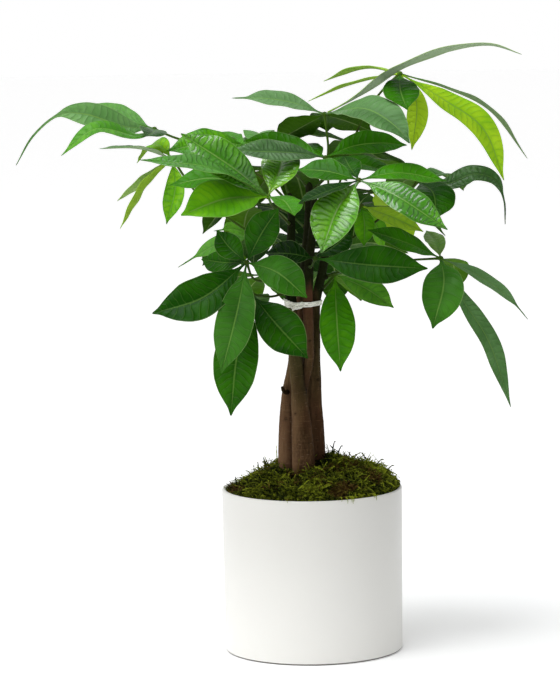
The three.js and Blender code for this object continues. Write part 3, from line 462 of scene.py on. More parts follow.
class LeafSettings(bpy.types.PropertyGroup):
    """Form and colours of the leaves"""
    steps_along: count_setting("Steps along", "Steps along a leaflet", 56)
    steps_across: count_setting("Steps across", "Steps across each half", 8)
    wave: share_setting("Wave", "Rise and fall of the margin as a share of the half width", 0.05)
    vein_gap: length_setting("Vein gap", "Distance between the side veins", 0.0068)
    puff: length_setting("Puff", "How far the quilted leaflets swell between their side veins", 0.0008)
    vein_relief: length_setting("Vein relief", "Depth between the side veins", 0.0012)
    mature: colour_setting("Mature", "Upper side of an old leaflet", (0.007, 0.052, 0.001))
    grown: colour_setting("Grown", "Upper side of a grown leaflet", (0.044, 0.212, 0.002))
    bright: colour_setting("Bright", "Upper side of a fresh green leaflet", (0.115, 0.37, 0.006))
    young: colour_setting("Young", "Upper side of a young leaflet", (0.35, 0.58, 0.016))
    under_mature: colour_setting("Mature underside", "Underside of an old leaflet", (0.013, 0.062, 0.0008))
    under_grown: colour_setting("Grown underside", "Underside of a grown leaflet", (0.085, 0.215, 0.004))
    under_young: colour_setting("Young underside", "Underside of a young leaflet", (0.36, 0.60, 0.022))
    # Painted shade for leaflets with tones under 0, deep inside the crown
    shaded: colour_setting("Shaded", "Leaflets deep inside the crown", (0.002, 0.012, 0.0005))
    # Painted sheen: the pale grey-green reflection that a leaflet's sheen paints on its upper side and
    # underside
    painted_sheen: colour_setting("Bloom", "Pale waxy bloom over some upper leaflets", (0.19, 0.29, 0.165))
    under_painted_sheen: colour_setting("Underside bloom", "Pale waxy bloom on some undersides", (0.27, 0.36, 0.22))
    rib: colour_setting("Rib", "Colour of the midrib", (0.17, 0.33, 0.06))
    under_rib: colour_setting("Underside rib", "Colour of the midrib on the underside", (0.26, 0.38, 0.12))
    # Painted highlight along the thin margin of the upper side
    margin: colour_setting("Margin", "Colour of the thin pale margin", (0.28, 0.40, 0.15))
    stalk: colour_setting("Stalk", "Colour of the stalks", (0.036, 0.080, 0.006))
    stalk_blotch: colour_setting("Stalk blotches", "Colour of the brown blotches on it", (0.05, 0.036, 0.012))


class StageSettings(bpy.types.PropertyGroup):
    """Floor, light and camera"""
    camera_place: bpy.props.FloatVectorProperty(
        name="Camera place", description="Where the camera stands", unit="LENGTH", subtype="XYZ", size=3,
        default=(-0.0298825, -3.3262972, 0.7141884),
    )
    camera_dip: angle_setting("Camera dip", "How far the camera looks down", 0.12335)
    camera_roll: angle_setting("Camera roll", "How far the camera leans to its right", 0.01563)
    lens: bpy.props.FloatProperty(
        name="Lens", description="Focal length for a frame 36 mm high", unit="CAMERA", default=173.05,
    )
    floor: colour_setting("Floor", "Colour of the floor", (0.88, 0.88, 0.88))
    key_power: power_setting("Key light", "Power of the large light at the left", 25.0)
    top_power: power_setting("Top light", "Power of the light over the tree", 37.0)
    front_power: power_setting("Front light", "Power of the light high in front", 5.0)
    fill_power: power_setting("Fill light", "Power of the light at the right", 6.0)
    sky: share_setting("Backdrop", "Brightness of the white surroundings in the picture", 1.0)
    lit_side: share_setting("Lit side", "Light from the surroundings on the left and behind", 0.75)
    dim_side: share_setting("Dim side", "Light from the surroundings on the right and in front", 0.17)
    floor_glow: share_setting("Floor glow", "Light of its own that keeps the floor pale near the pot", 0.24)
    far_glow: share_setting("Far floor glow", "Light of its own that keeps the floor white far away", 0.56)


# Curves and meshes


class Curve:
    """A smooth curve through its places, read by its own parameter or by its length."""

    def __init__(self, places):
        self.places = np.array(places, float)
        self.guided = np.vstack([
            2 * self.places[0] - self.places[1], self.places, 2 * self.places[-1] - self.places[-2],
        ])
        self.shares = np.linspace(0, 1, 201)
        steps = np.linalg.norm(np.diff(self.at(self.shares), axis=0), axis=1)
        self.reached = np.concatenate([[0.0], np.cumsum(steps)])
        self.length = self.reached[-1]

    def at(self, shares):
        """The curve's points, where 0 is its first place and 1 its last."""
        spot = np.clip(np.atleast_1d(np.asarray(shares, float)), 0, 1) * (len(self.places) - 1)
        index = np.minimum(spot.astype(int), len(self.places) - 2)
        t = (spot - index)[:, None]
        p0, p1, p2, p3 = (self.guided[index + k] for k in range(4))
        d0, d1, d2 = (
            np.maximum(np.sum((b - a) ** 2, axis=1), 1e-12)[:, None] ** 0.25
            for a, b in ((p0, p1), (p1, p2), (p2, p3))
        )
        m1 = ((p1 - p0) / d0 - (p2 - p0) / (d0 + d1) + (p2 - p1) / d1) * d1
        m2 = ((p2 - p1) / d1 - (p3 - p1) / (d1 + d2) + (p3 - p2) / d2) * d1
        return (
            p1 + m1 * t + (3 * (p2 - p1) - 2 * m1 - m2) * t ** 2 + (2 * (p1 - p2) + m1 + m2) * t ** 3
        )

    def way(self, shares):
        """The unit tangents at these parameters."""
        shares = np.asarray(shares, float)
        step = self.at(np.minimum(shares + 1e-4, 1)) - self.at(np.maximum(shares - 1e-4, 0))
        return unit(step)

    def by_length(self, parts):
        """The parameters at these parts of the curve's length."""
        return np.interp(np.asarray(parts, float) * self.length, self.reached, self.shares)


def unit(vectors):
    """These vectors at a length of one."""
    return vectors / np.maximum(np.linalg.norm(vectors, axis=-1, keepdims=True), 1e-12)


def smooth_profile(at, knots, values):
    """Values along a smooth curve that never overshoots its knots."""
    x, y = np.array(knots, float), np.array(values, float)
    width, slope = np.diff(x), np.diff(y) / np.diff(x)
    tangent = np.zeros_like(y)
    for k in range(1, len(x) - 1):
        if slope[k - 1] * slope[k] > 0:
            w1, w2 = 2 * width[k] + width[k - 1], width[k] + 2 * width[k - 1]
            tangent[k] = (w1 + w2) / (w1 / slope[k - 1] + w2 / slope[k])
    tangent[0], tangent[-1] = slope[0], slope[-1]
    at = np.clip(at, x[0], x[-1])
    k = np.clip(np.searchsorted(x, at, side="right") - 1, 0, len(x) - 2)
    h = width[k]
    t = (at - x[k]) / h
    return (
        y[k] * (1 + 2 * t) * (1 - t) ** 2 + tangent[k] * h * t * (1 - t) ** 2
        + y[k + 1] * t ** 2 * (3 - 2 * t) + tangent[k + 1] * h * t ** 2 * (t - 1)
    )


class Sheaf:
    """Gathers the vertices and faces of one piece's mesh, with a value or two for each vertex."""

    def __init__(self):
        self.places, self.faces, self.looks, self.maps = [], [], [], []
        self.values = {"tone": [], "seed": [], "relief": [], "turn": [], "tint": []}
        self.count = 0

    def add(self, places, faces, look=0, flat_map=None, **given):
        """Adds faces with one of the piece's materials, and the values given for their vertices."""
        places = np.asarray(places, float).reshape(-1, 3)
        self.places.append(places)
        for group in faces:
            self.faces.extend((np.asarray(group) + self.count).tolist())
            self.looks.extend([look] * len(group))
        for name, values in self.values.items():
            value = np.asarray(given.get(name, 0.0), float)
            values.append(np.broadcast_to(value, len(places)).copy())
        self.maps.append(np.zeros((len(places), 2)) if flat_map is None else flat_map.reshape(-1, 2))
        self.count += len(places)

    def make(self, name, materials):
        """The mesh as an object in the part's frame."""
        mesh = bpy.data.meshes.new(name)
        mesh.from_pydata((np.concatenate(self.places) * MM).tolist(), [], self.faces)
        mesh.polygons.foreach_set("material_index", self.looks)
        mesh.polygons.foreach_set("use_smooth", [True] * len(self.faces))
        for key, parts in self.values.items():
            mesh.attributes.new(key, "FLOAT", "POINT").data.foreach_set("value", np.concatenate(parts))
        corners = np.empty(len(mesh.loops), np.int32)
        mesh.loops.foreach_get("vertex_index", corners)
        flat = np.concatenate(self.maps)[corners]
        mesh.uv_layers.new(name="leaflet").data.foreach_set("uv", flat.ravel())
        for material in materials:
            mesh.materials.append(material)
        mesh.validate()
        mesh.update()
        piece = bpy.data.objects.new(name, mesh)
        bpy.context.scene.collection.objects.link(piece)
        return piece


def round_angles(sides):
    """Angles spread evenly once round."""
    return np.arange(sides) * 2 * math.pi / sides


def turned(radii, heights, angles):
    """The places of a profile turned round a standing line."""
    return np.stack([
        radii * np.cos(angles), radii * np.sin(angles), heights * np.ones_like(angles),
    ], -1)


def grid_faces(rows, columns, closed=False, flip=False):
    """Quads over a grid of rows by columns, joined round where it is closed."""
    last = columns if closed else columns - 1
    row, column = np.meshgrid(np.arange(rows - 1), np.arange(last), indexing="ij")
    right = (column + 1) % columns
    a, b = row * columns + column, row * columns + right
    quads = np.stack([a, b, b + columns, a + columns], -1).reshape(-1, 4)
    return quads[:, ::-1] if flip else quads


def tube(centres, ways, radii, sides, across=(1.0, 0.0, 0.0)):
    """A round tube with closed ends. radii is one number a ring, or one a corner."""
    across = np.array(across, float)
    angle = round_angles(sides)
    radii = np.broadcast_to(np.asarray(radii, float).reshape(len(centres), -1), (len(centres), sides))
    rings = []
    for centre, way, radius in zip(centres, ways, radii):
        across = across - way * across.dot(way)
        across /= np.linalg.norm(across)
        up = np.cross(way, across)
        spokes = np.cos(angle)[:, None] * across + np.sin(angle)[:, None] * up
        rings.append(centre + radius[:, None] * spokes)
    places = np.concatenate([*rings, [centres[0]], [centres[-1]]])
    quads = grid_faces(len(centres), sides, closed=True)
    round_ = np.arange(sides)
    after = (round_ + 1) % sides
    low, high = len(centres) * sides, len(centres) * sides + 1
    start = (len(centres) - 1) * sides
    foot = np.stack([np.full(sides, low), after, round_], -1)
    tip = np.stack([np.full(sides, high), start + round_, start + after], -1)
    return places, [quads, foot, tip]


def rod(places, radii, sides, across=(1.0, 0.0, 0.0)):
    """A tube along the smooth curve through these places, with one ring for each radius."""
    curve = Curve(places)
    share = np.linspace(0, 1, len(radii))
    return tube(curve.at(share), curve.way(share), radii, sides, across)


def ripple(x, y, z, scale, seed=0.0):
    """A soft random value from -1 to 1 at a point."""
    return noise.noise(Vector((x * scale + seed, y * scale - seed, z * scale + 2 * seed)))


# Materials


class Wiring:
    """Adds nodes to one tree, and takes numbers, colours or sockets as their inputs."""

    def __init__(self, tree):
        self.tree = tree

    def node(self, kind, inputs=(), **settings):
        made = self.tree.nodes.new(kind)
        for key, value in settings.items():
            setattr(made, key, value)
        self.join(made, inputs)
        return made

    def join(self, node, inputs):
        """Feeds a node's inputs, each under its name or number."""
        for key, value in dict(inputs).items():
            self.feed(node.inputs[key], value)

    def feed(self, socket, value):
        if isinstance(value, bpy.types.NodeSocket):
            self.tree.links.new(value, socket)
        elif socket.type == "RGBA":
            socket.default_value = (*value[:3], 1.0)
        else:
            socket.default_value = value

    def math(self, operation, *values, clamp=False):
        return self.node(
            "ShaderNodeMath", enumerate(values), operation=operation, use_clamp=clamp,
        ).outputs[0]

    def times(self, first, second):
        return self.math("MULTIPLY", first, second)

    def plus(self, first, second, clamp=False):
        return self.math("ADD", first, second, clamp=clamp)

    def minus(self, first, second):
        return self.math("SUBTRACT", first, second)

    def fade(self, value, low, high, to_low=0.0, to_high=1.0):
        """value from low to high, eased to a range of its own."""
        return self.node("ShaderNodeMapRange", {
            "Value": value, "From Min": low, "From Max": high, "To Min": to_low, "To Max": to_high,
        }, interpolation_type="SMOOTHSTEP").outputs[0]

    def spread(self, noise_value, to_low, to_high):
        """A soft random value, eased from its usual range to one of its own."""
        return self.fade(noise_value, *NOISE_RANGE, to_low, to_high)

    def blend(self, amount, first, second):
        """Two colours mixed by an amount from 0 to 1."""
        return self.node(
            "ShaderNodeMix", {0: amount, 6: first, 7: second}, data_type="RGBA", clamp_factor=True,
        ).outputs[2]

    def cloud(self, place, scale, detail=3.0, rough=0.55):
        return self.node("ShaderNodeTexNoise", {
            "Vector": place, "Scale": scale, "Detail": detail, "Roughness": rough,
        }).outputs["Fac"]

    def ramp(self, value, stops):
        made = self.node("ShaderNodeValToRGB", {0: value})
        elements = made.color_ramp.elements
        while len(elements) < len(stops):
            elements.new(0.5)
        for element, (at, shade) in zip(elements, stops):
            element.position = at
            element.color = (*shade[:3], 1)
        return made.outputs[0]

    def value_of(self, name):
        """A value that the mesh holds for each vertex."""
        return self.node("ShaderNodeAttribute", attribute_name=name).outputs["Fac"]

    def object_place(self):
        return self.node("ShaderNodeTexCoord").outputs["Object"]

    def split(self, vector):
        return self.node("ShaderNodeSeparateXYZ", {0: vector}).outputs

    def stretched(self, place, x, y, z):
        return self.node("ShaderNodeMapping", {"Vector": place, "Scale": (x, y, z)}).outputs[0]

    def bump(self, height, depth, strength):
        return self.node("ShaderNodeBump", {
            "Strength": strength, "Distance": depth, "Height": height,
        }).outputs[0]


def dimmed(shade, amount):
    """A colour at a share of its brightness, or over it."""
    return tuple(part * amount for part in shade)


def new_material(name):
    """An empty material, its wiring and its shader, joined to the output."""
    material = bpy.data.materials.new(name)
    material.use_nodes = True
    material.node_tree.nodes.clear()
    wire = Wiring(material.node_tree)
    shader = wire.node("ShaderNodeBsdfPrincipled")
    wire.node("ShaderNodeOutputMaterial", {0: shader.outputs[0]})
    return material, wire, shader


def new_group(name, inputs, outputs):
    """A shader node group that puts out numbers, its wiring, its input sockets and its output node."""
    group = bpy.data.node_groups.new(name, "ShaderNodeTree")
    for socket, kind, value in inputs:
        made = group.interface.new_socket(name=socket, in_out="INPUT", socket_type=kind)
        if value is not None:
            made.default_value = value
    for socket in outputs:
        group.interface.new_socket(name=socket, in_out="OUTPUT", socket_type=NUMBER)
    wire = Wiring(group)
    return group, wire, wire.node("NodeGroupInput").outputs, wire.node("NodeGroupOutput")


def leaf_vein_group():
    """Masks and heights of a leaflet's midrib, side veins and fine net."""
    name = "Leaf veins"
    if name in bpy.data.node_groups:
        return bpy.data.node_groups[name]
    group, wire, given, out = new_group(
        name,
        [("Turn", NUMBER, 0.0), ("Along", NUMBER, 0.0), ("Across", NUMBER, 0.5), ("Seed", NUMBER, 0.0)],
        ["Midrib", "Side veins", "Groove", "Quilt", "Net", "Margin"],
    )
    signed = wire.math("MULTIPLY_ADD", given["Across"], 2.0, -1.0)
    away = wire.math("ABSOLUTE", signed)
    side = wire.math("GREATER_THAN", signed, 0.0)
    part = wire.math("FRACT", wire.math("MULTIPLY_ADD", side, VEIN_OFFSET, given["Turn"]))
    near = wire.math("ABSOLUTE", wire.math("MULTIPLY_ADD", part, 2.0, -1.0))
    inside = wire.fade(away, 0.82, 1.0, 1.0, 0.0)
    puff = wire.minus(1.0, wire.math("POWER", near, PUFF_POWER))
    flat = wire.node("ShaderNodeCombineXYZ", {
        "X": given["Along"], "Y": given["Across"], "Z": given["Seed"],
    }).outputs[0]
    cells = wire.node("ShaderNodeTexVoronoi", {
        "Scale": 1.0, "Vector": wire.stretched(flat, 70.0, 22.0, 3.0),
    }, feature="DISTANCE_TO_EDGE")
    wire.join(out, {
        "Midrib": wire.fade(away, 0.015, 0.058, 1.0, 0.0),
        "Side veins": wire.times(wire.fade(near, 0.84, 0.99), inside),
        "Groove": wire.times(wire.fade(near, 0.76, 1.0), wire.fade(away, 0.85, 1.0, 1.0, 0.0)),
        "Quilt": wire.times(puff, wire.times(wire.fade(away, 0.02, 0.25), inside)),
        "Net": wire.fade(cells.outputs["Distance"], 0.0, 0.22),
        "Margin": wire.fade(away, 0.95, 1.0),
    })
    return group


def mottle_group():
    """Soft blotches and fine specks over a surface, for uneven colour and roughness."""
    name = "Mottle"
    if name in bpy.data.node_groups:
        return bpy.data.node_groups[name]
    group, wire, given, out = new_group(
        name,
        [("Place", "NodeSocketVector", None), ("Blotches", NUMBER, 30.0), ("Specks", NUMBER, 400.0)],
        ["Blotches", "Specks"],
    )
    for key, detail in (("Blotches", 2.0), ("Specks", 3.0)):
        made = wire.node("ShaderNodeTexNoise", {
            "Detail": detail, "Vector": given["Place"], "Scale": given[key],
        })
        wire.join(out, {key: made.outputs["Fac"]})
    return group


def mottle(wire, place, blotches, specks):
    """Blotches and specks of these scales."""
    made = wire.node("ShaderNodeGroup", {
        "Place": place, "Blotches": blotches, "Specks": specks,
    }, node_tree=mottle_group())
    return made.outputs["Blotches"], made.outputs["Specks"]


def veins(wire):
    """The vein group's values on a leaflet."""
    flat = wire.split(wire.node("ShaderNodeUVMap", uv_map="leaflet").outputs[0])
    return wire.node("ShaderNodeGroup", {
        "Along": flat["X"], "Across": flat["Y"], "Turn": wire.value_of("turn"), "Seed": wire.value_of("seed"),
    }, node_tree=leaf_vein_group()).outputs


def leaf_ground(wire, vein, tone, stops, vein_share, settings):
    """A leaflet's colour by its tone, with painted shade for tones under 0 deep in the crown, and its side
    veins.
    """
    base = wire.ramp(tone, stops)
    # Painted shade: tones under 0 darken towards the shaded colour
    deep = wire.fade(wire.value_of("tone"), 0.0, -0.1, 0.0, 0.75)
    base = wire.blend(deep, base, settings.shaded)
    return wire.blend(wire.times(vein["Side veins"], vein_share), base, settings.rib)


def leaf_top_material(settings):
    """Upper side of a leaflet: green by its tone, with painted shade in its furrows, and painted sheen and
    gloss by its looks.
    """
    material, wire, shader = new_material("Leaf top")
    vein = veins(wire)
    place = wire.object_place()
    blotch, speck = mottle(wire, place, 34.0, 900.0)
    patches = wire.cloud(place, 110.0, 2.0)
    tone = wire.plus(wire.value_of("tone"), wire.spread(blotch, -0.09, 0.09))
    # Lighter on the puffs and darker between them: painted light and shade of the quilting
    tone = wire.plus(tone, wire.fade(vein["Quilt"], 0.0, 1.0, -0.025, 0.045), clamp=True)
    stops = (0.0, settings.mature), (0.5, settings.grown), (0.7, settings.bright), (1.0, settings.young)
    base = leaf_ground(wire, vein, tone, stops, 0.15, settings)
    # Painted shade in the furrows of the quilted leaflets
    strong = wire.fade(wire.value_of("relief"), 0.3, 0.9)
    furrow_shade = wire.times(vein["Groove"], wire.times(strong, 0.34))
    base = wire.blend(furrow_shade, base, settings.mature)
    # Painted sheen: a pale reflection painted into the colour by the leaflet's sheen, even on most leaflets
    # and in bands between the side veins on the quilted ones
    even = wire.fade(blotch, 0.35, 0.65, 0.65, 1.0)
    swollen = wire.fade(vein["Quilt"], 0.55, 1.0, 0.0, 1.0)
    banded = wire.times(swollen, wire.fade(patches, 0.4, 0.6, 0.1, 1.0))
    sheen_share = wire.plus(even, wire.times(strong, wire.minus(banded, even)))
    base = wire.blend(wire.times(wire.value_of("tint"), sheen_share), base, settings.painted_sheen)
    # Pale midrib, and a painted highlight along the margin
    pale = wire.times(vein["Midrib"], wire.fade(wire.value_of("tone"), 0.0, 0.5, 0.32, 0.8))
    base = wire.blend(pale, base, settings.rib)
    # Painted highlight along the margin
    base = wire.blend(wire.times(vein["Margin"], 0.5), base, settings.margin)
    rough = wire.plus(wire.spread(speck, 0.26, 0.34), wire.times(vein["Midrib"], 0.1))
    height = wire.plus(wire.times(vein["Quilt"], 1.5), wire.times(vein["Midrib"], -0.6))
    height = wire.plus(height, wire.times(vein["Net"], 0.05))
    height = wire.times(height, wire.value_of("relief"))
    wire.join(shader, {
        "Base Color": base,
        "Roughness": rough,
        "Normal": wire.bump(height, settings.vein_relief, 0.9),
        "Coat Weight": wire.fade(wire.value_of("relief"), 0.32, 1.0, 0.0, 1.0),
        "Coat Roughness": 0.15,
        "Specular IOR Level": 0.07,
    })
    return material


def leaf_under_material(settings):
    """Underside of a leaflet: paler and duller, with raised ribs."""
    material, wire, shader = new_material("Leaf underside")
    vein = veins(wire)
    blotch, speck = mottle(wire, wire.object_place(), 40.0, 1100.0)
    tone = wire.plus(wire.value_of("tone"), wire.spread(blotch, -0.06, 0.06), clamp=True)
    stops = (0.0, settings.under_mature), (0.5, settings.under_grown), (1.0, settings.under_young)
    base = leaf_ground(wire, vein, tone, stops, 0.16, settings)
    # Painted sheen on the underside, by the leaflet's sheen
    base = wire.blend(wire.value_of("tint"), base, settings.under_painted_sheen)
    base = wire.blend(wire.times(vein["Midrib"], 0.75), base, settings.under_rib)
    height = wire.minus(vein["Midrib"], wire.times(vein["Quilt"], 0.8))
    height = wire.minus(height, wire.times(vein["Net"], 0.08))
    height = wire.times(height, wire.value_of("relief"))
    wire.join(shader, {
        "Base Color": base,
        "Roughness": wire.spread(speck, 0.5, 0.64),
        "Normal": wire.bump(height, settings.vein_relief, 0.8),
        "Specular IOR Level": 0.04,
    })
    return material


def stalk_material(settings):
    """Green stalk with fine ridges and brown blotches."""
    material, wire, shader = new_material("Leaf stalk")
    place = wire.object_place()
    blotch, speck = mottle(wire, place, 60.0, 1200.0)
    base = wire.blend(wire.value_of("tone"), dimmed(settings.stalk, 0.55), dimmed(settings.stalk, 1.9))
    base = wire.blend(wire.fade(blotch, 0.45, 0.75, 0.0, 0.5), base, settings.stalk_blotch)
    ridges = wire.cloud(wire.stretched(place, 1.0, 1.0, 0.15), 900.0)
    wire.join(shader, {
        "Base Color": base,
        "Roughness": wire.spread(speck, 0.42, 0.58),
        "Normal": wire.bump(ridges, 0.0003, 0.5),
        "Specular IOR Level": 0.06,
    })
    return material


def bark_material(settings):
    """Bark that goes from reddish brown at the foot to green in the crown, darkened there near black as
    painted shade.
    """
    material, wire, shader = new_material("Bark")
    place = wire.object_place()
    height_up = wire.split(place)["Z"]
    redder = wire.value_of("tint")
    blotch, speck = mottle(wire, wire.stretched(place, 1.0, 1.0, 0.4), 55.0, 800.0)
    tint = wire.cloud(wire.stretched(place, 1.0, 1.0, 0.6), 24.0, 2.0)
    fissure = wire.cloud(wire.stretched(place, 1.0, 1.0, 0.12), 620.0, 4.0, 0.62)
    rings = wire.cloud(wire.stretched(place, 0.14, 0.14, 1.0), 420.0, 3.0, 0.65)
    base = wire.blend(wire.fade(blotch, 0.36, 0.64), settings.old_bark, settings.pale_bark)
    redness = wire.plus(wire.fade(tint, 0.4, 0.7, -0.2, 0.35), redder)
    redness = wire.plus(redness, wire.fade(height_up, 0.17, 0.235, 0.55, 0.0), clamp=True)
    base = wire.blend(wire.times(redness, 0.8), base, settings.red_bark)
    # Dry film, fissures along the stem and rings round it
    film = wire.times(wire.fade(speck, 0.42, 0.6), wire.fade(tint, 0.52, 0.38))
    base = wire.blend(wire.times(film, 0.25), base, settings.film)
    base = wire.blend(wire.fade(fissure, 0.54, 0.74, 0.0, 0.35), base, settings.film)
    base = wire.blend(wire.fade(fissure, 0.42, 0.28, 0.0, 0.55), base, settings.crack)
    base = wire.blend(wire.fade(rings, 0.58, 0.7, 0.0, 0.5), base, settings.crack)
    base = wire.blend(wire.fade(rings, 0.42, 0.3, 0.0, 0.32), base, settings.film)
    # Small pale dashes
    dashes = wire.node("ShaderNodeTexVoronoi", {
        "Scale": 260.0, "Randomness": 1.0, "Vector": wire.stretched(place, 0.55, 0.55, 1.5),
    }, feature="F1")
    spot = wire.fade(dashes.outputs["Distance"], 0.12, 0.3, 1.0, 0.0)
    spot = wire.times(spot, wire.math("GREATER_THAN", dashes.outputs["Color"], 0.6))
    base = wire.blend(wire.times(spot, 0.35), base, settings.lenticel)
    # Paler film on the side the key light falls on, a painted highlight, plus each stem's own dry film
    film_and_lit_side = wire.times(wire.value_of("relief"), wire.spread(blotch, 0.35, 0.75))
    base = wire.blend(film_and_lit_side, base, settings.film)
    # Olive below the tie, reddish at it, and green in the crown darkened near black as painted shade under
    # the leaves, by the height in metres
    up = wire.plus(height_up, wire.spread(blotch, -0.012, 0.012))
    olive = wire.times(wire.fade(up, 0.225, 0.3, 0.0, 0.6), wire.fade(redder, 0.2, 0.5, 1.0, 0.45))
    base = wire.blend(olive, base, settings.olive_bark)
    ruddy = wire.times(wire.fade(up, 0.318, 0.335), wire.fade(up, 0.352, 0.366, 1.0, 0.0))
    ruddy = wire.times(ruddy, wire.fade(tint, 0.35, 0.6, 0.3, 0.85))
    ruddy = wire.times(ruddy, wire.fade(redder, 0.5, 0.85))
    base = wire.blend(ruddy, base, settings.red_bark)
    up = wire.plus(up, wire.fade(redder, 0.5, 0.85, 0.034, 0.026))
    # Painted shade of the crown: the bark turns near black above the tie
    base = wire.blend(wire.fade(up, 0.375, 0.395, 0.0, 0.92), base, settings.crown_shade_bark)
    # Dark scars, and painted shade where another stem is close
    base = wire.blend(wire.value_of("tone"), base, settings.scar_and_shade_colour)
    height = wire.plus(fissure, wire.times(rings, -0.7))
    height = wire.plus(height, wire.times(spot, 0.35))
    wire.join(shader, {
        "Base Color": base,
        "Roughness": wire.spread(speck, 0.6, 0.85),
        "Normal": wire.bump(height, 0.0016, 0.9),
        "Specular IOR Level": 0.05,
    })
    return material


def moss_material(settings):
    """Moss from deep green to yellow tips, with brown dead patches."""
    material, wire, shader = new_material("Moss")
    blotch, speck = mottle(wire, wire.object_place(), 55.0, 1300.0)
    tone = wire.plus(wire.value_of("tone"), wire.spread(speck, -0.12, 0.12), clamp=True)
    middle = [0.5 * (a + b) * 0.8 for a, b in zip(settings.deep, settings.fresh)]
    base = wire.ramp(tone, [(0.0, settings.deep), (0.55, middle), (1.0, settings.fresh)])
    brown = wire.fade(wire.plus(blotch, wire.value_of("seed")), 0.60, 0.72)
    base = wire.blend(wire.times(brown, 0.85), base, settings.dead)
    wire.join(shader, {
        "Base Color": base,
        "Roughness": wire.spread(speck, 0.7, 0.9),
        "Normal": wire.bump(speck, 0.0006, 0.6),
        "Specular IOR Level": 0.08,
    })
    return material


def soil_material():
    """Dark crumbly potting mix."""
    material, wire, shader = new_material("Potting mix")
    blotch, speck = mottle(wire, wire.object_place(), 160.0, 900.0)
    wire.join(shader, {
        "Base Color": wire.ramp(blotch, SOIL_COLOURS),
        "Roughness": wire.spread(speck, 0.85, 1.0),
        "Normal": wire.bump(speck, 0.002, 0.8),
    })
    return material


def glaze_material(settings):
    """White satin glaze, with painted shade towards the rim and a dark matt band at the foot painted as
    contact shade.
    """
    material, wire, shader = new_material("Satin glaze")
    place = wire.object_place()
    up = wire.split(place)["Z"]
    blotch, speck = mottle(wire, place, 14.0, 600.0)
    base = wire.blend(wire.spread(blotch, 0.0, 0.25), settings.glaze, settings.worn_glaze)
    # Darker towards the rim and lighter near the foot: painted shade under the crown and painted bounce light
    # from the floor
    base = wire.blend(wire.fade(up, 0.0, RIM_SHADE_HEIGHT), base, dimmed(settings.glaze, 0.8))
    # A dark matt band at the foot, painted as the contact shade where the pot meets the floor
    foot = wire.fade(up, *FOOT_SHADE_BAND, 1.0, 0.0)
    base = wire.blend(foot, base, settings.foot_shade)
    rough = wire.plus(wire.spread(blotch, 0.36, 0.42), wire.spread(speck, -0.02, 0.03))
    rough = wire.plus(rough, wire.times(foot, wire.minus(0.9, rough)))
    skin = wire.plus(wire.times(blotch, 3.0), wire.times(speck, 0.12))
    wire.join(shader, {
        "Base Color": base,
        "Roughness": rough,
        "Normal": wire.bump(skin, 0.0004, 0.25),
        "Coat Weight": 0.15,
        "Coat Roughness": 0.3,
    })
    return material


def wrap_material(settings):
    """Pale wrapping, creased round the wire."""
    material, wire, shader = new_material("Wrapped wire")
    place = wire.object_place()
    blotch, speck = mottle(wire, place, 220.0, 1600.0)
    base = wire.blend(wire.fade(blotch, 0.35, 0.7, 0.0, 0.8), settings.wrap, settings.worn_wrap)
    folds = wire.cloud(wire.stretched(place, 1.0, 1.0, 3.2), 300.0)
    # Painted shade in the creases
    base = wire.blend(wire.fade(folds, 0.45, 0.32, 0.0, 0.65), base, settings.crease)
    wire.join(shader, {
        "Base Color": base,
        "Roughness": wire.spread(speck, 0.42, 0.62),
        "Normal": wire.bump(folds, 0.0012, 0.9),
    })
    return material


def floor_material(settings):
    """Pale matt floor that stays white far away."""
    material, wire, shader = new_material("Pale floor")
    place = wire.object_place()
    blotch, speck = mottle(wire, place, 1.5, 60.0)
    away = wire.node("ShaderNodeVectorMath", {0: place}, operation="LENGTH").outputs["Value"]
    wire.join(shader, {
        "Base Color": wire.blend(
            wire.spread(blotch, 0.0, 0.3), settings.floor, dimmed(settings.floor, 0.985),
        ),
        "Roughness": wire.spread(speck, 0.55, 0.65),
        "Specular IOR Level": 0.1,
        "Emission Color": wire.fade(away, 0.25, 3.0, settings.floor_glow, settings.far_glow),
        "Emission Strength": 1.0,
    })
    return material


# Pieces


def dress(piece, slot, *nodes):
    """The piece takes the nodes' place on the part. The slot is not used."""
    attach(piece, "root")
    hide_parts(*nodes)


def stem_at(stem, height):
    """The stem's middle and radius at a height."""
    places = np.array(STEMS[stem], float)
    above = max(1, int(np.argmax(places[:, 2] >= height)))
    low, high = places[above - 1], places[above]
    spot = low + (high - low) * (height - low[2]) / (high[2] - low[2])
    return spot[:3], spot[3]


def seat_of(leaf):
    """Where a leaf's stalk leaves its stem, and the way it starts."""
    middle, radius = stem_at(leaf.stem, leaf.height)
    return middle, unit(np.array(leaf.stalk[0], float) - middle), radius


def vein_turns(u, s, curve, blade, settings, seed):
    """How many side veins a leaflet has up to each place, counted along its midrib."""
    strong = blade.relief >= QUILTED
    gap = settings.vein_gap / MM * (0.76 if strong else 1)
    count = np.clip(curve.length / gap, 9, 24)
    slant = (0.12 if strong else 0.4) * blade.width / 2 / curve.length
    first = np.sin(FULL_TURN * (1.3 * u + 0.35 * s + seed))
    second = np.sin(FULL_TURN * (3.4 * u - 0.6 * s + 2.7 * seed))
    third = np.sin(FULL_TURN * (7.9 * u + 1.3 * s + 5.1 * seed))
    uneven = (1.4 if strong else 1) * (0.24 * first + 0.13 * second + 0.07 * third)
    return (u - slant * np.abs(s) ** 1.3) * count + uneven


def quilt(turn, s):
    """Swelling between the side veins, from 0 at a vein to 1 midway."""
    near = np.abs(2 * np.mod(turn + VEIN_OFFSET * (s > 0), 1) - 1)
    a = np.abs(s)
    return (1 - near ** PUFF_POWER) * np.clip(a / 0.25, 0, 1) * np.clip((1 - a) / 0.2, 0, 1)


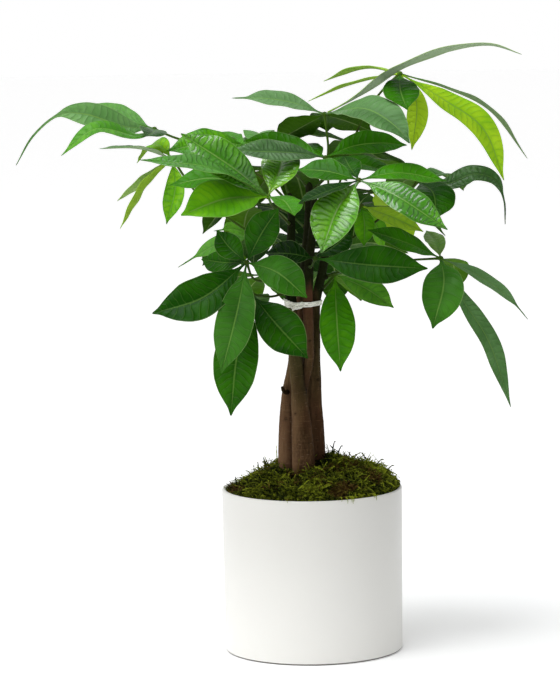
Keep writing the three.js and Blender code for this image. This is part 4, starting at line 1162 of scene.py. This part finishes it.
def half_widths(blade, along):
    """Half a leaflet's width in millimetres at these parts of its length."""
    knots, widths = [k * (1 - blade.tail) for k in WIDTH_KNOTS], list(WIDTHS)
    if blade.tail:
        widths[-1] = 0.1
        knots += [1 - blade.tail / 2, 1]
        widths += [0.085, 0.03]
    return np.maximum(
        smooth_profile(along, knots, widths) * blade.width / 2,
        np.interp(along, (0, 0.9, 1), (MIN_HALF_WIDTH, MIN_HALF_WIDTH * 0.8, 0.15)),
    )


def add_leaflet(sheaf, hub, blade, settings, seed):
    """One leaflet: an upper and a lower side along a midrib, with waved margins."""
    curve = Curve([hub, *blade.to])
    finer = 2.2 if blade.relief >= QUILTED else 1
    along = np.linspace(BLADE_START, 1, int(settings.steps_along * finer))
    half = half_widths(blade, along)
    share = curve.by_length(along)
    middle, way = curve.at(share), curve.way(share)
    across = unit(np.cross(way, unit(np.array(blade.face, float))))
    up = np.cross(across, way)
    fine = np.linspace(0, 1, int(settings.steps_across * min(finer, 1.5)) + 1)
    one_side = 0.75 * fine ** 1.35 + 0.25 * fine
    # s runs across the leaflet from -1 to 1 and u along it from 0 to 1
    s = np.concatenate([-one_side[:0:-1], one_side])[None, :]
    a = np.abs(s)
    u = along[:, None]
    width = half[:, None]
    turns = 2.2 + 1.6 * (seed % 1)
    start = 6.3 * ((seed * 7.31) % 1)
    edge = settings.wave * width * a ** 2.2 * np.sin(FULL_TURN * turns * u + start + 1.9 * (s > 0))
    edge = edge * np.clip((u - 0.15) * 5, 0, 1)
    arch = 0.045 * width * np.sin(math.pi * a) - 0.03 * width * a ** 4
    fold = BLADE_FOLD * width * (0.9 * a + 0.1 * a ** 2)
    veined = vein_turns(u, s, curve, blade, settings, seed)
    open_ = np.clip((u - 0.08) * 12, 0, 1)
    puff = settings.puff / MM * blade.relief * quilt(veined, s) * open_
    rise = fold + arch + edge + puff
    thick = np.interp(along, (0, BLADE_START, 0.1, 0.3, 1), (2, 2, 1.3, 0.7, 0.5))[:, None] / 2
    thick = thick * (1 - 0.55 * a ** 2)
    groove = 0.28 * np.exp(-(a * width / 0.9) ** 2) * open_
    ridge = 0.45 * np.exp(-(a * width / 0.8) ** 2) * open_ * (1.1 - u)
    base = middle[:, None, :] + across[:, None, :] * (s * width)[..., None]
    top = base + up[:, None, :] * (rise + thick - groove)[..., None]
    under = base + up[:, None, :] * (rise - thick - ridge)[..., None]
    flat = np.stack(np.broadcast_arrays(u, (s + 1) / 2), -1)
    rows, columns = len(along), s.shape[1]
    age = {"tone": blade.tone, "seed": seed}
    # The tint carries the leaflet's painted sheen
    looks = {"relief": blade.relief, "turn": veined.ravel(), "tint": blade.sheen, **age}
    sheaf.add(top, [grid_faces(rows, columns, flip=True)], UPPER, flat, **looks)
    sheaf.add(under, [grid_faces(rows, columns)], LOWER, flat, **looks)
    for k, flip in ((0, False), (-1, True)):
        strip = np.stack([top[:, k], under[:, k]], 1)
        sheaf.add(strip, [grid_faces(rows, 2, flip=flip)], LOWER, flat[:, [k, k]], **age)
    for k, flip in ((0, True), (-1, False)):
        cap = np.stack([top[k], under[k]], 1)
        sheaf.add(cap, [grid_faces(columns, 2, flip=flip)], LOWER, np.stack([flat[k], flat[k]], 1), **age)


def add_hub(sheaf, leaf, seed):
    """The small rounded swelling where the leaflets meet."""
    rows, sides = 9, 14
    turn = np.linspace(0.02, math.pi - 0.02, rows)[:, None]
    around = round_angles(sides)[None, :]
    shell = turned(np.sin(turn), np.cos(turn), around)
    places = np.array(leaf.hub) + shell * np.array(HUB_RADII)
    faces = grid_faces(rows, sides, closed=True, flip=True)
    sheaf.add(places, [faces], STALK, tone=0.8 * youth(leaf), seed=seed)


def youth(leaf):
    """How young a leaf is, from 0 to 1, by the mean tone of its leaflets."""
    return min(1, 0.12 + 1.5 * sum(blade.tone for blade in leaf.leaflets) / len(leaf.leaflets))


def add_stalk(sheaf, leaf, seed):
    """The leaf's stalk, thicker where it leaves the stem and under the hub."""
    middle, way, radius = seat_of(leaf)
    start = middle + way * (radius + KNOB_LENGTH + SEAT_GAP)
    curve = Curve([start, start + way * STALK_LEAD, *leaf.stalk, leaf.hub])
    parts = np.linspace(0, 1, 48)
    share = curve.by_length(parts)
    from_foot, from_hub = parts * curve.length, (1 - parts) * curve.length
    thick = 1.15 + 0.75 * np.exp(-from_foot / 3.5) + 0.75 * np.exp(-from_hub / 4)
    places, faces = tube(curve.at(share), curve.way(share), thick, STALK_SIDES)
    tone = (0.1 + 0.7 * parts) * youth(leaf)
    tone = np.concatenate([np.repeat(tone, STALK_SIDES), [tone[0], tone[-1]]])
    sheaf.add(places, faces, STALK, tone=tone, seed=seed)


def leaf_piece(leaf, number, settings, materials):
    """One compound leaf, from its stalk to its leaflets."""
    sheaf = Sheaf()
    seed = number * 1.618
    add_stalk(sheaf, leaf, seed)
    add_hub(sheaf, leaf, seed)
    for place, blade in enumerate(leaf.leaflets, 1):
        add_leaflet(sheaf, leaf.hub, blade, settings, seed + 0.37 * place)
    dress(sheaf.make(leaf.name + "_fine", materials), "leaf", leaf.name)


def stem_radii(name, share):
    """A stem's radius at these parameters of its curve."""
    line = np.array(STEMS[name], float)
    return np.interp(share * (len(line) - 1), range(len(line)), line[:, 3])


def nearest_stem(places, name):
    """Distance in millimetres from each place on a stem to the closest other stem."""
    gaps = []
    share = np.linspace(0, 1, 120)
    for other, line in STEMS.items():
        if other != name:
            axis = Curve([place[:3] for place in line]).at(share)
            far = np.linalg.norm(places[:, None] - axis[None], axis=-1)
            gaps.append(np.min(far - stem_radii(other, share), axis=1))
    return np.min(gaps, axis=0)


def add_stem(sheaf, name, settings):
    """One stem's bark, uneven all round and along it, with rings and leaf scars."""
    sides = STEM_SIDES
    curve = Curve([place[:3] for place in STEMS[name]])
    rings = int(curve.length / RING_STEP)
    share = np.linspace(0, 1, rings)
    centres, ways = curve.at(share), curve.way(share)
    radius = stem_radii(name, share)
    soften = np.convolve(np.pad(radius, 8, mode="edge"), np.ones(17) / 17, mode="valid")
    tip = np.clip((1 - share) * curve.length / 3, 0, 1) ** 0.5
    angle = round_angles(sides)
    deep = settings.unevenness / MM
    seed = 3.7 * len(name)
    grid = np.zeros((rings, sides))
    scar_and_shade = np.zeros((rings, sides))
    for k in range(rings):
        z = centres[k][2]
        ring = 0.35 * ripple(0, 0, z, 0.16, seed) + 0.25 * max(0.0, ripple(1, 0, z, 0.5, seed))
        for j, turn in enumerate(angle):
            x, y = math.cos(turn), math.sin(turn)
            rib = ripple(2.6 * x, 2.6 * y, 0.012 * z, 1.0, seed)
            lump = ripple(1.1 * x, 1.1 * y, 0.05 * z, 1.0, seed + 9)
            fine = ripple(7 * x, 7 * y, 0.11 * z, 1.0, seed + 4)
            grid[k, j] = deep * (1.1 * rib + 1.3 * lump + 0.5 * fine + ring)
    for height, where, size in (scar[1:] for scar in SCARS if scar[0] == name):
        gap = np.abs(np.angle(np.exp(1j * (angle - where))))[None, :] * soften[:, None]
        far = np.sqrt(gap ** 2 + ((centres[:, 2] - height) * 1.5)[:, None] ** 2) / size
        grid += 0.7 * np.exp(-((far - 1) / 0.35) ** 2) - 0.5 * np.exp(-(far / 0.6) ** 2)
        scar_and_shade = np.maximum(scar_and_shade, 0.85 * np.exp(-(far / 0.75) ** 2))
    radii = (soften * tip)[:, None] + grid * np.minimum(1, soften / 8)[:, None]
    shape, faces = tube(centres, ways, radii, sides)
    # Painted shade where another stem is close, and paler film on the left side where the key light falls, a
    # painted highlight, added to each stem's own dry film
    skin = shape[:rings * sides]
    gap = nearest_stem(skin, name).reshape(rings, sides)
    # Painted shade: darker the closer another stem is
    scar_and_shade = np.maximum(scar_and_shade, 0.92 * np.exp(-np.maximum(gap, 0) / 2.7))
    out = unit(skin - np.repeat(centres, sides, 0))
    # Paler on the left and front, where the key light falls: a painted highlight
    film_and_lit_side = np.clip(-0.95 * out[:, 0] - 0.3 * out[:, 1], 0, 1) ** 1.6
    film_and_lit_side = np.clip(film_and_lit_side + STEM_FILM[name], 0, 1)
    ends = [0, 0]
    tone, pale = np.concatenate([scar_and_shade.ravel(), ends]), np.concatenate([film_and_lit_side, ends])
    sheaf.add(shape, faces, tone=tone, seed=seed, relief=pale, tint=STEM_TINTS[name])


def add_knob(sheaf, leaf):
    """The short swollen foot on the stem that a stalk grows from."""
    middle, way, radius = seat_of(leaf)
    steps = np.array([0, 0.35, 0.6, 0.8, 0.92, 1.0])
    length = radius + KNOB_LENGTH
    thick = KNOB_RADIUS * np.array([1.15, 1.1, 1.0, 0.94, 0.86, 0.66])
    centres = middle + way * (steps * length)[:, None]
    across = (0, 0, 1) if abs(way[2]) < 0.8 else (1, 0, 0)
    places, faces = tube(centres, np.repeat(way[None], len(steps), 0), thick, 14, across)
    sheaf.add(places, faces, tone=0.25, seed=1.0)


def trunk_piece(node, stems, settings, material):
    """The bark of one trunk, with a knob for each leaf on it."""
    sheaf = Sheaf()
    for stem in stems:
        add_stem(sheaf, stem, settings)
    for leaf in LEAVES:
        if leaf.stem in stems:
            add_knob(sheaf, leaf)
    if "left" in stems:
        sheaf.add(*rod(STUB, STUB_RADII, 10, (0, 0, 1)), tone=0.75, seed=2.0)
    dress(sheaf.make(node + "_bark", [material]), "bark", node)


def moss_height(x, y):
    """Height of the mat in millimetres at shares of its radius."""
    share = np.sqrt(x ** 2 + y ** 2)
    dome = (1 - share ** 2.6) * MOSS_RISE * (1 + 0.22 * x + 0.1 * y) - MOSS_SINK * (1 - share ** 6)
    clumps = 2.2 * np.sin(9 * x + 4 * y) * np.cos(8 * y - 3 * x)
    tufts = 1.3 * np.sin(17 * x) * np.sin(15 * y)
    hummocks = sum(
        rise * np.exp(-((x - x_top) / x_reach) ** 2 - ((y - y_top) / y_reach) ** 2)
        for rise, x_top, x_reach, y_top, y_reach in HUMMOCKS
    )
    rest = clumps + tufts + hummocks
    return RIM_HEIGHT - MOSS_BELOW_RIM + dome + rest * (1 - 0.8 * share ** 8)


def add_mat(sheaf):
    """The dense bed that the shoots stand in."""
    rows, sides = 44, 132
    share = np.linspace(1, 0.0, rows)[:, None]
    turn = round_angles(sides)[None, :]
    x, y = share * np.cos(turn), share * np.sin(turn)
    lumps = np.array([[
        1.5 * ripple(a, b, 0, 7.0) + 0.9 * ripple(a, b, 1, 17.0) for a, b in zip(ra, rb)
    ] for ra, rb in zip(x, y)])
    z = moss_height(x, y) - 1.6 + lumps * (1 - 0.7 * share ** 8)
    shell = np.stack([x * MOSS_RADIUS, y * MOSS_RADIUS, z], -1)
    foot = shell[:1].copy()
    foot[..., 2] = RIM_HEIGHT - 12
    tone = 0.04 + 0.08 * np.concatenate([np.zeros((1, sides)), lumps])
    faces = grid_faces(rows + 1, sides, closed=True)
    sheaf.add(np.concatenate([foot, shell]), [faces], tone=tone.ravel())


def brownness(x, y):
    """How dead the moss is at each place, from 0 to 1."""
    spots = [np.exp(-((x - a) ** 2 + (y - b) ** 2) / reach ** 2) for a, b, reach in BROWN_PATCHES]
    return np.max(spots, axis=0)


def add_shoots(sheaf, count, length, thick, leaf_size, lift, seed, brighter=0.0):
    """Feathery shoots over the mat, in tufts that lean one way: each a bent axis with small leaves."""
    random = np.random.default_rng(seed)
    # Where each shoot stands, and the tuft whose lean, height and tone it shares
    radius = np.sqrt(random.random(count)) * 0.985
    turn = random.random(count) * 2 * math.pi
    x, y = radius * np.cos(turn), radius * np.sin(turn)
    tufts = random.uniform(-1, 1, (MOSS_TUFTS, 2))
    tuft_turn = random.random(MOSS_TUFTS) * 2 * math.pi
    tuft_tone = random.normal(size=MOSS_TUFTS) * 0.24
    tuft_rise = random.normal(size=MOSS_TUFTS) * 1.1
    own = np.argmin((x[:, None] - tufts[:, 0]) ** 2 + (y[:, None] - tufts[:, 1]) ** 2, axis=1)
    # Its root on the mound, and the way it starts and bends
    step = 0.01
    slope_x = (moss_height(x + step, y) - moss_height(x - step, y)) / (2 * step * MOSS_RADIUS)
    slope_y = (moss_height(x, y + step) - moss_height(x, y - step)) / (2 * step * MOSS_RADIUS)
    normal = unit(np.stack([-slope_x, -slope_y, np.ones(count)], -1))
    height = moss_height(x, y) - 2.4 + tuft_rise[own] * (1 - radius ** 6)
    root = np.stack([x * MOSS_RADIUS, y * MOSS_RADIUS, height], -1)
    same = np.stack([np.cos(tuft_turn[own]), np.sin(tuft_turn[own]), np.zeros(count)], -1)
    outward = np.stack([x, y, np.zeros(count)], -1)
    lean = unit(1.1 * same + 0.6 * outward + 0.75 * random.normal(size=(count, 3)))
    reach = length * (0.55 + 0.9 * random.random(count) ** 1.5) * (1 - 0.45 * radius ** 5)
    start = unit(normal * lift + lean * (1 - lift))
    droop = unit(0.3 * start + lean - np.array([0, 0, 0.75]))
    curl = unit(random.normal(size=(count, 3)))
    joints = 7
    share = np.linspace(0, 1, joints)[None, :, None]
    bend = start[:, None] * share * (1 - 0.5 * share) + droop[:, None] * 0.6 * share ** 2
    bend = bend + 0.16 * curl[:, None] * np.sin(4.5 * share)
    axis = root[:, None] + reach[:, None, None] * bend
    way = unit(np.gradient(axis, axis=1))
    side = unit(np.cross(way, unit(random.normal(size=(count, 3)))[:, None]))
    over = np.cross(side, way)
    # The two edges of its axis, and the tips of the small leaves on both sides
    wide = thick * (0.7 + 0.6 * random.random(count))[:, None, None] * (1 - 0.75 * share ** 2)
    left, right = axis - side * wide * 0.5, axis + side * wide * 0.5
    leaf = leaf_size * (0.7 + 0.6 * random.random(count))[:, None, None]
    leaf = leaf * np.sin(math.pi * (0.15 + 0.75 * share))
    out_left = axis - side * leaf + way * leaf * 0.9 + over * leaf * 0.25
    out_right = axis + side * leaf + way * leaf * 0.9 + over * leaf * 0.25
    places = np.stack([left, right, out_left, out_right], 2)
    # All drawn in to the rim, and to the wall's inside where it is lower than the rim
    far = np.maximum(np.linalg.norm(places[..., :2], axis=-1, keepdims=True), 1e-6)
    squeeze = np.minimum(1, (MOSS_RADIUS + 2.6) / far)
    inside = np.minimum(squeeze, (MOSS_RADIUS - 0.2) / far)
    places[..., :2] *= np.where(places[..., 2:] < RIM_HEIGHT + 0.6, inside, squeeze)
    first = (np.arange(count) * joints * 4)[:, None] + (np.arange(joints - 1) * 4)[None, :]
    axis_faces = np.stack([first, first + 1, first + 5, first + 4], -1).reshape(-1, 4)
    leaf_left = np.stack([first, first + 4, first + 2], -1).reshape(-1, 3)
    leaf_right = np.stack([first + 1, first + 3, first + 5], -1).reshape(-1, 3)
    # Paler to the tip and where the mound is lit, in patches and tufts, and brown where it is dead
    rise = 0.9 * np.linspace(0, 1, joints) ** 1.3 - 0.05
    patch = np.array([0.38 * ripple(a, b, 3, 3.6) for a, b in zip(x, y)])
    lit = 0.5 * np.clip((y - 0.1) / 0.6, 0, 1) + 0.34 * np.clip((x - 0.4) / 0.4, 0, 1)
    own_tone = random.normal(size=count) * 0.14 + tuft_tone[own] + patch + lit + brighter
    by_corner = np.array([-0.05, -0.05, 0.12, 0.12])
    tone = np.clip(rise[None, :, None] + own_tone[:, None, None] + by_corner, 0, 1)
    brown = random.random(count) * 0.14 - 0.09 + 0.28 * brownness(x, y)
    brown = np.repeat(brown[:, None], joints * 4, 1)
    sheaf.add(places, [axis_faces, leaf_left, leaf_right], tone=tone.ravel(), seed=brown.ravel())


def add_sprig(sheaf, x, y, height, right, back, fresh):
    """A dark dry sprig that stands out of the moss, with two side twigs."""
    foot = np.array([x * MOSS_RADIUS, y * MOSS_RADIUS, moss_height(x, y) - 1])
    lean = np.array([right, back, 0.0])
    tip = foot + (lean * 0.5 + (0, 0, 1)) * height
    middle = foot + (lean * 0.1 + (0, 0, 0.55)) * height
    twig_end = middle + (np.array([-right - 0.3, back, 0.6])) * height * 0.4
    fork_end = tip + (lean * 0.8 + (0.2, 0.1, -0.1)) * height * 0.25
    taper = 1.1 - 0.7 * np.linspace(0, 1, 9)
    for line, thick in (([foot, middle, tip], 0.95), ([middle, twig_end], 0.6), ([tip, fork_end], 0.6)):
        sheaf.add(*rod(line, thick * taper, 6), tone=fresh, seed=0.05)


def add_spill(sheaf, turn, drop, sway):
    """A fresh shoot that hangs out over the rim."""
    out = np.array([math.cos(turn), math.sin(turn), 0.0])
    aside = np.array([-out[1], out[0], 0.0]) * sway
    rim = np.array([0.0, 0.0, RIM_HEIGHT])
    line = [
        out * (RIM_RADIUS - 13) + rim,
        out * (RIM_RADIUS - 4) + rim + (0, 0, 2.4) + aside * 0.3,
        out * (RIM_RADIUS + 0.6) + rim + (0, 0, 0.6) + aside * 0.7,
        out * (RIM_RADIUS + 0.9) + rim - (0, 0, drop) + aside,
    ]
    sheaf.add(*rod(line, 0.5 * (1.15 - 0.8 * np.linspace(0, 1, 14)), 5), tone=0.95)


def pot_profile(settings):
    """Radius and height of the pot's skin, from the middle of its foot round to its floor."""
    rim, foot, high = settings.rim_radius / MM, settings.foot_radius / MM, settings.height / MM
    inside = rim - settings.wall / MM
    # The hollow under the foot, its ring, and its rounded edge
    profile = [(0, 0.9), (foot - 9, 0.9), (foot - 8, 0), (foot - 2.6, 0), (foot - 1.6, 0.2)]
    for k in range(1, 7):
        turn = k / 6 * math.pi / 2
        profile.append((foot - 1.6 + 1.6 * math.sin(turn), 0.2 + 1.9 * (1 - math.cos(turn))))
    # The outside, the lip and the inside
    for k in range(1, 22):
        share = k / 22
        profile.append((foot + (rim - foot) * share, 2.1 + (high - 4.0) * share))
    middle, half = (rim + inside) / 2, (rim - inside) / 2
    for k in range(0, 13):
        turn = k / 12 * math.pi
        lip = LIP_DROP * math.sin(turn) ** 0.8
        profile.append((middle + half * math.cos(turn), high - LIP_DROP + lip))
    for k in range(1, 9):
        profile.append((inside - 0.12 * k, high - LIP_DROP - (high - 20) * k / 8))
    profile += [(inside - 3, POT_FLOOR + 3), (inside - 8, POT_FLOOR), (0, POT_FLOOR)]
    return profile


def pot_piece(settings, material):
    """The pot, turned from its profile."""
    profile = np.array(pot_profile(settings))
    shell = turned(profile[:, :1], profile[:, 1:], round_angles(POT_SIDES)[None, :])
    sheaf = Sheaf()
    sheaf.add(shell, [grid_faces(len(profile), POT_SIDES, closed=True)])
    dress(sheaf.make("pot_glazed", [material]), "pot", "pot")


def tie_outline(height, clear, angles):
    """The band's line round the stems at a height."""
    stems = [stem_at(name, height) for name in STEMS]
    line = []
    for turn in angles:
        out = np.array([math.cos(turn), math.sin(turn)])
        reach = [middle[0] * out[0] + middle[1] * out[1] + radius for middle, radius in stems]
        middle, radius = stems[int(np.argmax(reach))]
        line.append(middle[:2] + (radius + clear) * out)
    closed = np.array(line)
    for _ in range(3):
        closed = 0.25 * np.roll(closed, 1, 0) + 0.5 * closed + 0.25 * np.roll(closed, -1, 0)
    return closed


def add_ribbon(sheaf, low, high, clear, seed, tilt):
    """One turn of the flat ribbon, with a wire rib along its middle and small creases."""
    sides, rows = 150, 9
    turn = round_angles(sides)
    sections = []
    for share in np.linspace(0, 1, rows):
        height = low + (high - low) * share
        line = tie_outline(height, clear, turn)
        out = unit(line - line.mean(0))
        rib = 0.32 * math.exp(-((share - 0.5) / 0.16) ** 2)
        crease = np.array([
            0.34 * ripple(math.cos(a) * 5, math.sin(a) * 5, share * 3.5, 1.0, seed) for a in turn
        ])
        wave = np.array([0.5 * ripple(math.cos(a) * 2, math.sin(a) * 2, 0, 1.0, seed + 5) for a in turn])
        flat = line + out * (rib + crease)[:, None]
        sections.append(np.column_stack([flat, height + tilt * np.cos(turn + 0.6) + wave]))
    outer = np.array(sections)
    inner = outer.copy()
    centre = outer.mean((0, 1))
    inner[..., :2] -= 0.35 * unit(outer[..., :2] - centre[:2])
    shell = np.concatenate([outer, inner[::-1], outer[:1]])
    sheaf.add(shell, [grid_faces(len(shell), sides, closed=True)], seed=seed)


def add_twist(sheaf, places, turns, seed):
    """Two ends of the wire wound round each other."""
    curve = Curve(places)
    share = np.linspace(0, 1, 60)
    centres, ways = curve.at(share), curve.way(share)
    side = unit(np.cross(ways, (0, 0, 1)))
    over = np.cross(side, ways)
    for phase in (0, math.pi):
        turn = share * turns * 2 * math.pi + phase
        wide = 0.75 + 0.15 * np.sin(9 * share + phase)
        line = centres + 0.72 * (np.cos(turn)[:, None] * side + np.sin(turn)[:, None] * over)
        sheaf.add(*tube(line, unit(np.gradient(line, axis=0)), wide, 10), seed=seed)


def tie_piece(settings, material):
    """The tie: two turns of flat ribbon and its twisted ends."""
    sheaf = Sheaf()
    low = TIE_BOX[0][2] / MM + 3.4
    tall = settings.ribbon_height / MM
    add_ribbon(sheaf, low - 0.1, low + tall - 0.1, clear=1.0, seed=1.3, tilt=0.25)
    add_ribbon(sheaf, low + tall - 0.7, low + 2 * tall - 0.7, clear=1.25, seed=4.1, tilt=-0.3)
    for twist in TWISTS:
        add_twist(sheaf, *twist)
    dress(sheaf.make("tie_wrapped", [material]), "tie", "tie")


def soft_light(name, place, target, size, power, shade=(1, 1, 1)):
    """A rectangular lamp that faces its target."""
    data = bpy.data.lights.new(name, "AREA")
    data.shape = "RECTANGLE"
    data.size, data.size_y = size
    data.energy = power
    data.color = shade
    lamp = bpy.data.objects.new(name, data)
    lamp.location = place
    lamp.rotation_euler = (Vector(target) - lamp.location).to_track_quat("-Z", "Y").to_euler()
    bpy.context.scene.collection.objects.link(lamp)


def camera_turn(dip, roll):
    """The camera's rotation from how far it looks down and leans."""
    ahead = Vector((0, math.cos(dip), -math.sin(dip)))
    right = Vector((1, 0, 0))
    down = ahead.cross(right)
    leaning = right * math.cos(roll) + down * math.sin(roll)
    lower = down * math.cos(roll) - right * math.sin(roll)
    return Matrix((leaning, -lower, -ahead)).transposed().to_euler()


# Operators


class MONEYTREE_OT_pot(bpy.types.Operator):
    """Turn the glazed pot"""
    bl_idname = "moneytree.pot"
    bl_label = "Pot"

    def execute(self, context):
        settings = context.scene.moneytree_pot
        pot_piece(settings, glaze_material(settings))
        return {"FINISHED"}


class MONEYTREE_OT_soil(bpy.types.Operator):
    """Give the potting mix its finish"""
    bl_idname = "moneytree.soil"
    bl_label = "Potting mix"

    def execute(self, context):
        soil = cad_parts["soil"]
        for slot in soil.material_slots:
            slot.material = soil_material()
        return {"FINISHED"}


class MONEYTREE_OT_moss(bpy.types.Operator):
    """Lay the moss with its shoots"""
    bl_idname = "moneytree.moss"
    bl_label = "Moss"

    def execute(self, context):
        settings = context.scene.moneytree_moss
        material = moss_material(settings)
        length = settings.shoot_length / MM
        mat = Sheaf()
        add_mat(mat)
        dress(mat.make("moss_mat", [material]), "moss", "moss")
        short = Sheaf()
        add_shoots(short, settings.shoots, length, thick=0.6, leaf_size=1.5, lift=0.5, seed=11)
        dress(short.make("moss_shoots", [material]), "moss", "moss")
        loose = Sheaf()
        add_shoots(loose, settings.long_shoots, length * 1.3, thick=1.0, leaf_size=0.8, lift=0.4, seed=23)
        add_shoots(
            loose, settings.bold_shoots, length * 1.9, thick=1.3, leaf_size=0.5, lift=0.25, seed=37,
            brighter=0.3,
        )
        for sprig in SPRIGS:
            add_sprig(loose, *sprig)
        for spill in SPILLS:
            add_spill(loose, *spill)
        dress(loose.make("moss_long_shoots", [material]), "moss", "moss")
        return {"FINISHED"}


class MONEYTREE_OT_stems(bpy.types.Operator):
    """Grow the bark of the three bound stems"""
    bl_idname = "moneytree.stems"
    bl_label = "Stems"

    def execute(self, context):
        settings = context.scene.moneytree_stems
        bark = bark_material(settings)
        trunk_piece("trunk_front", ("front", "front_fork"), settings, bark)
        trunk_piece("trunk_left", ("left",), settings, bark)
        trunk_piece("trunk_right", ("right",), settings, bark)
        return {"FINISHED"}


class MONEYTREE_OT_tie(bpy.types.Operator):
    """Wind the tie round the stems"""
    bl_idname = "moneytree.tie"
    bl_label = "Tie"

    def execute(self, context):
        settings = context.scene.moneytree_tie
        tie_piece(settings, wrap_material(settings))
        return {"FINISHED"}


class MONEYTREE_OT_leaves(bpy.types.Operator):
    """Grow the leaves with their stalks"""
    bl_idname = "moneytree.leaves"
    bl_label = "Leaves"

    def execute(self, context):
        settings = context.scene.moneytree_leaves
        materials = [leaf_top_material(settings), leaf_under_material(settings), stalk_material(settings)]
        for number, leaf in enumerate(LEAVES, 1):
            leaf_piece(leaf, number, settings, materials)
        return {"FINISHED"}


class MONEYTREE_OT_stage(bpy.types.Operator):
    """Set the floor, the lights and the camera"""
    bl_idname = "moneytree.stage"
    bl_label = "Stage"

    def execute(self, context):
        settings = context.scene.moneytree_stage
        scene = context.scene
        mesh = bpy.data.meshes.new("floor")
        ring = turned(FLOOR_RADIUS, 0.0, round_angles(FLOOR_SIDES)).tolist()
        mesh.from_pydata(ring, [], [tuple(range(len(ring)))])
        mesh.materials.append(floor_material(settings))
        floor = bpy.data.objects.new("floor", mesh)
        scene.collection.objects.link(floor)
        soft_light("key", (-1.9, -1.7, 2.0), (0, 0, 0.3), (1.4, 1.4), settings.key_power, (1.0, 0.985, 0.96))
        soft_light("top", (-0.4, -0.3, 2.3), (0, 0, 0.4), (1.6, 1.2), settings.top_power, (0.95, 0.98, 1.0))
        soft_light("front", (-0.7, -2.1, 2.3), (0, 0, 0.4), (1.0, 0.8), settings.front_power)
        soft_light("fill", (2.2, -1.4, 1.2), (0, 0, 0.3), (1.4, 1.4), settings.fill_power)
        world = bpy.data.worlds.new("white surroundings")
        world.use_nodes = True
        wire = Wiring(world.node_tree)
        ground = world.node_tree.nodes["Background"]
        way = wire.split(wire.node("ShaderNodeTexCoord").outputs["Generated"])
        lit = wire.math("MULTIPLY_ADD", way["X"], -0.6, wire.times(way["Y"], 0.6))
        around = wire.fade(lit, -0.8, 0.8, settings.dim_side, settings.lit_side)
        seen = wire.node("ShaderNodeLightPath").outputs["Is Camera Ray"]
        wire.join(ground, {
            "Strength": wire.fade(seen, 0.0, 1.0, around, settings.sky), "Color": (1.0, 1.0, 1.0),
        })
        scene.world = world
        scene.view_settings.view_transform = "Standard"
        data = bpy.data.cameras.new("camera")
        data.lens = settings.lens
        data.sensor_width = 36
        data.clip_end = 100
        camera = bpy.data.objects.new("camera", data)
        camera.location = settings.camera_place
        camera.rotation_euler = camera_turn(settings.camera_dip, settings.camera_roll)
        scene.collection.objects.link(camera)
        scene.camera = camera
        return {"FINISHED"}


class MONEYTREE_PT_panel(bpy.types.Panel):
    """The pieces of the tree, in the order they are made"""
    bl_label = "Money tree"
    bl_idname = "MONEYTREE_PT_panel"
    bl_space_type = "VIEW_3D"
    bl_region_type = "UI"
    bl_category = "Money tree"

    def draw(self, context):
        for operator, group in PIECES:
            box = self.layout.box()
            box.operator(operator.bl_idname)
            if group:
                settings = getattr(context.scene, group)
                for name in settings.bl_rna.properties.keys():
                    if name not in ("rna_type", "name"):
                        box.prop(settings, name)


PIECES = (
    (MONEYTREE_OT_pot, "moneytree_pot"),
    (MONEYTREE_OT_soil, None),
    (MONEYTREE_OT_moss, "moneytree_moss"),
    (MONEYTREE_OT_stems, "moneytree_stems"),
    (MONEYTREE_OT_tie, "moneytree_tie"),
    (MONEYTREE_OT_leaves, "moneytree_leaves"),
    (MONEYTREE_OT_stage, "moneytree_stage"),
)
GROUPS = {
    "moneytree_pot": PotSettings,
    "moneytree_moss": MossSettings,
    "moneytree_stems": StemSettings,
    "moneytree_tie": TieSettings,
    "moneytree_leaves": LeafSettings,
    "moneytree_stage": StageSettings,
}


def register():
    """Registers the settings, the operators and the panel."""
    for name, group in GROUPS.items():
        bpy.utils.register_class(group)
        setattr(bpy.types.Scene, name, bpy.props.PointerProperty(type=group))
    for operator, _ in PIECES:
        bpy.utils.register_class(operator)
    bpy.utils.register_class(MONEYTREE_PT_panel)


def unregister():
    """Takes them back out, last first."""
    bpy.utils.unregister_class(MONEYTREE_PT_panel)
    for operator, _ in reversed(PIECES):
        bpy.utils.unregister_class(operator)
    for name, group in GROUPS.items():
        delattr(bpy.types.Scene, name)
        bpy.utils.unregister_class(group)


def main():
    """Make every piece in turn."""
    register()
    bpy.ops.moneytree.pot()
    bpy.ops.moneytree.soil()
    bpy.ops.moneytree.moss()
    bpy.ops.moneytree.stems()
    bpy.ops.moneytree.tie()
    bpy.ops.moneytree.leaves()
    bpy.ops.moneytree.stage()


if __name__ == "__main__":
    main()
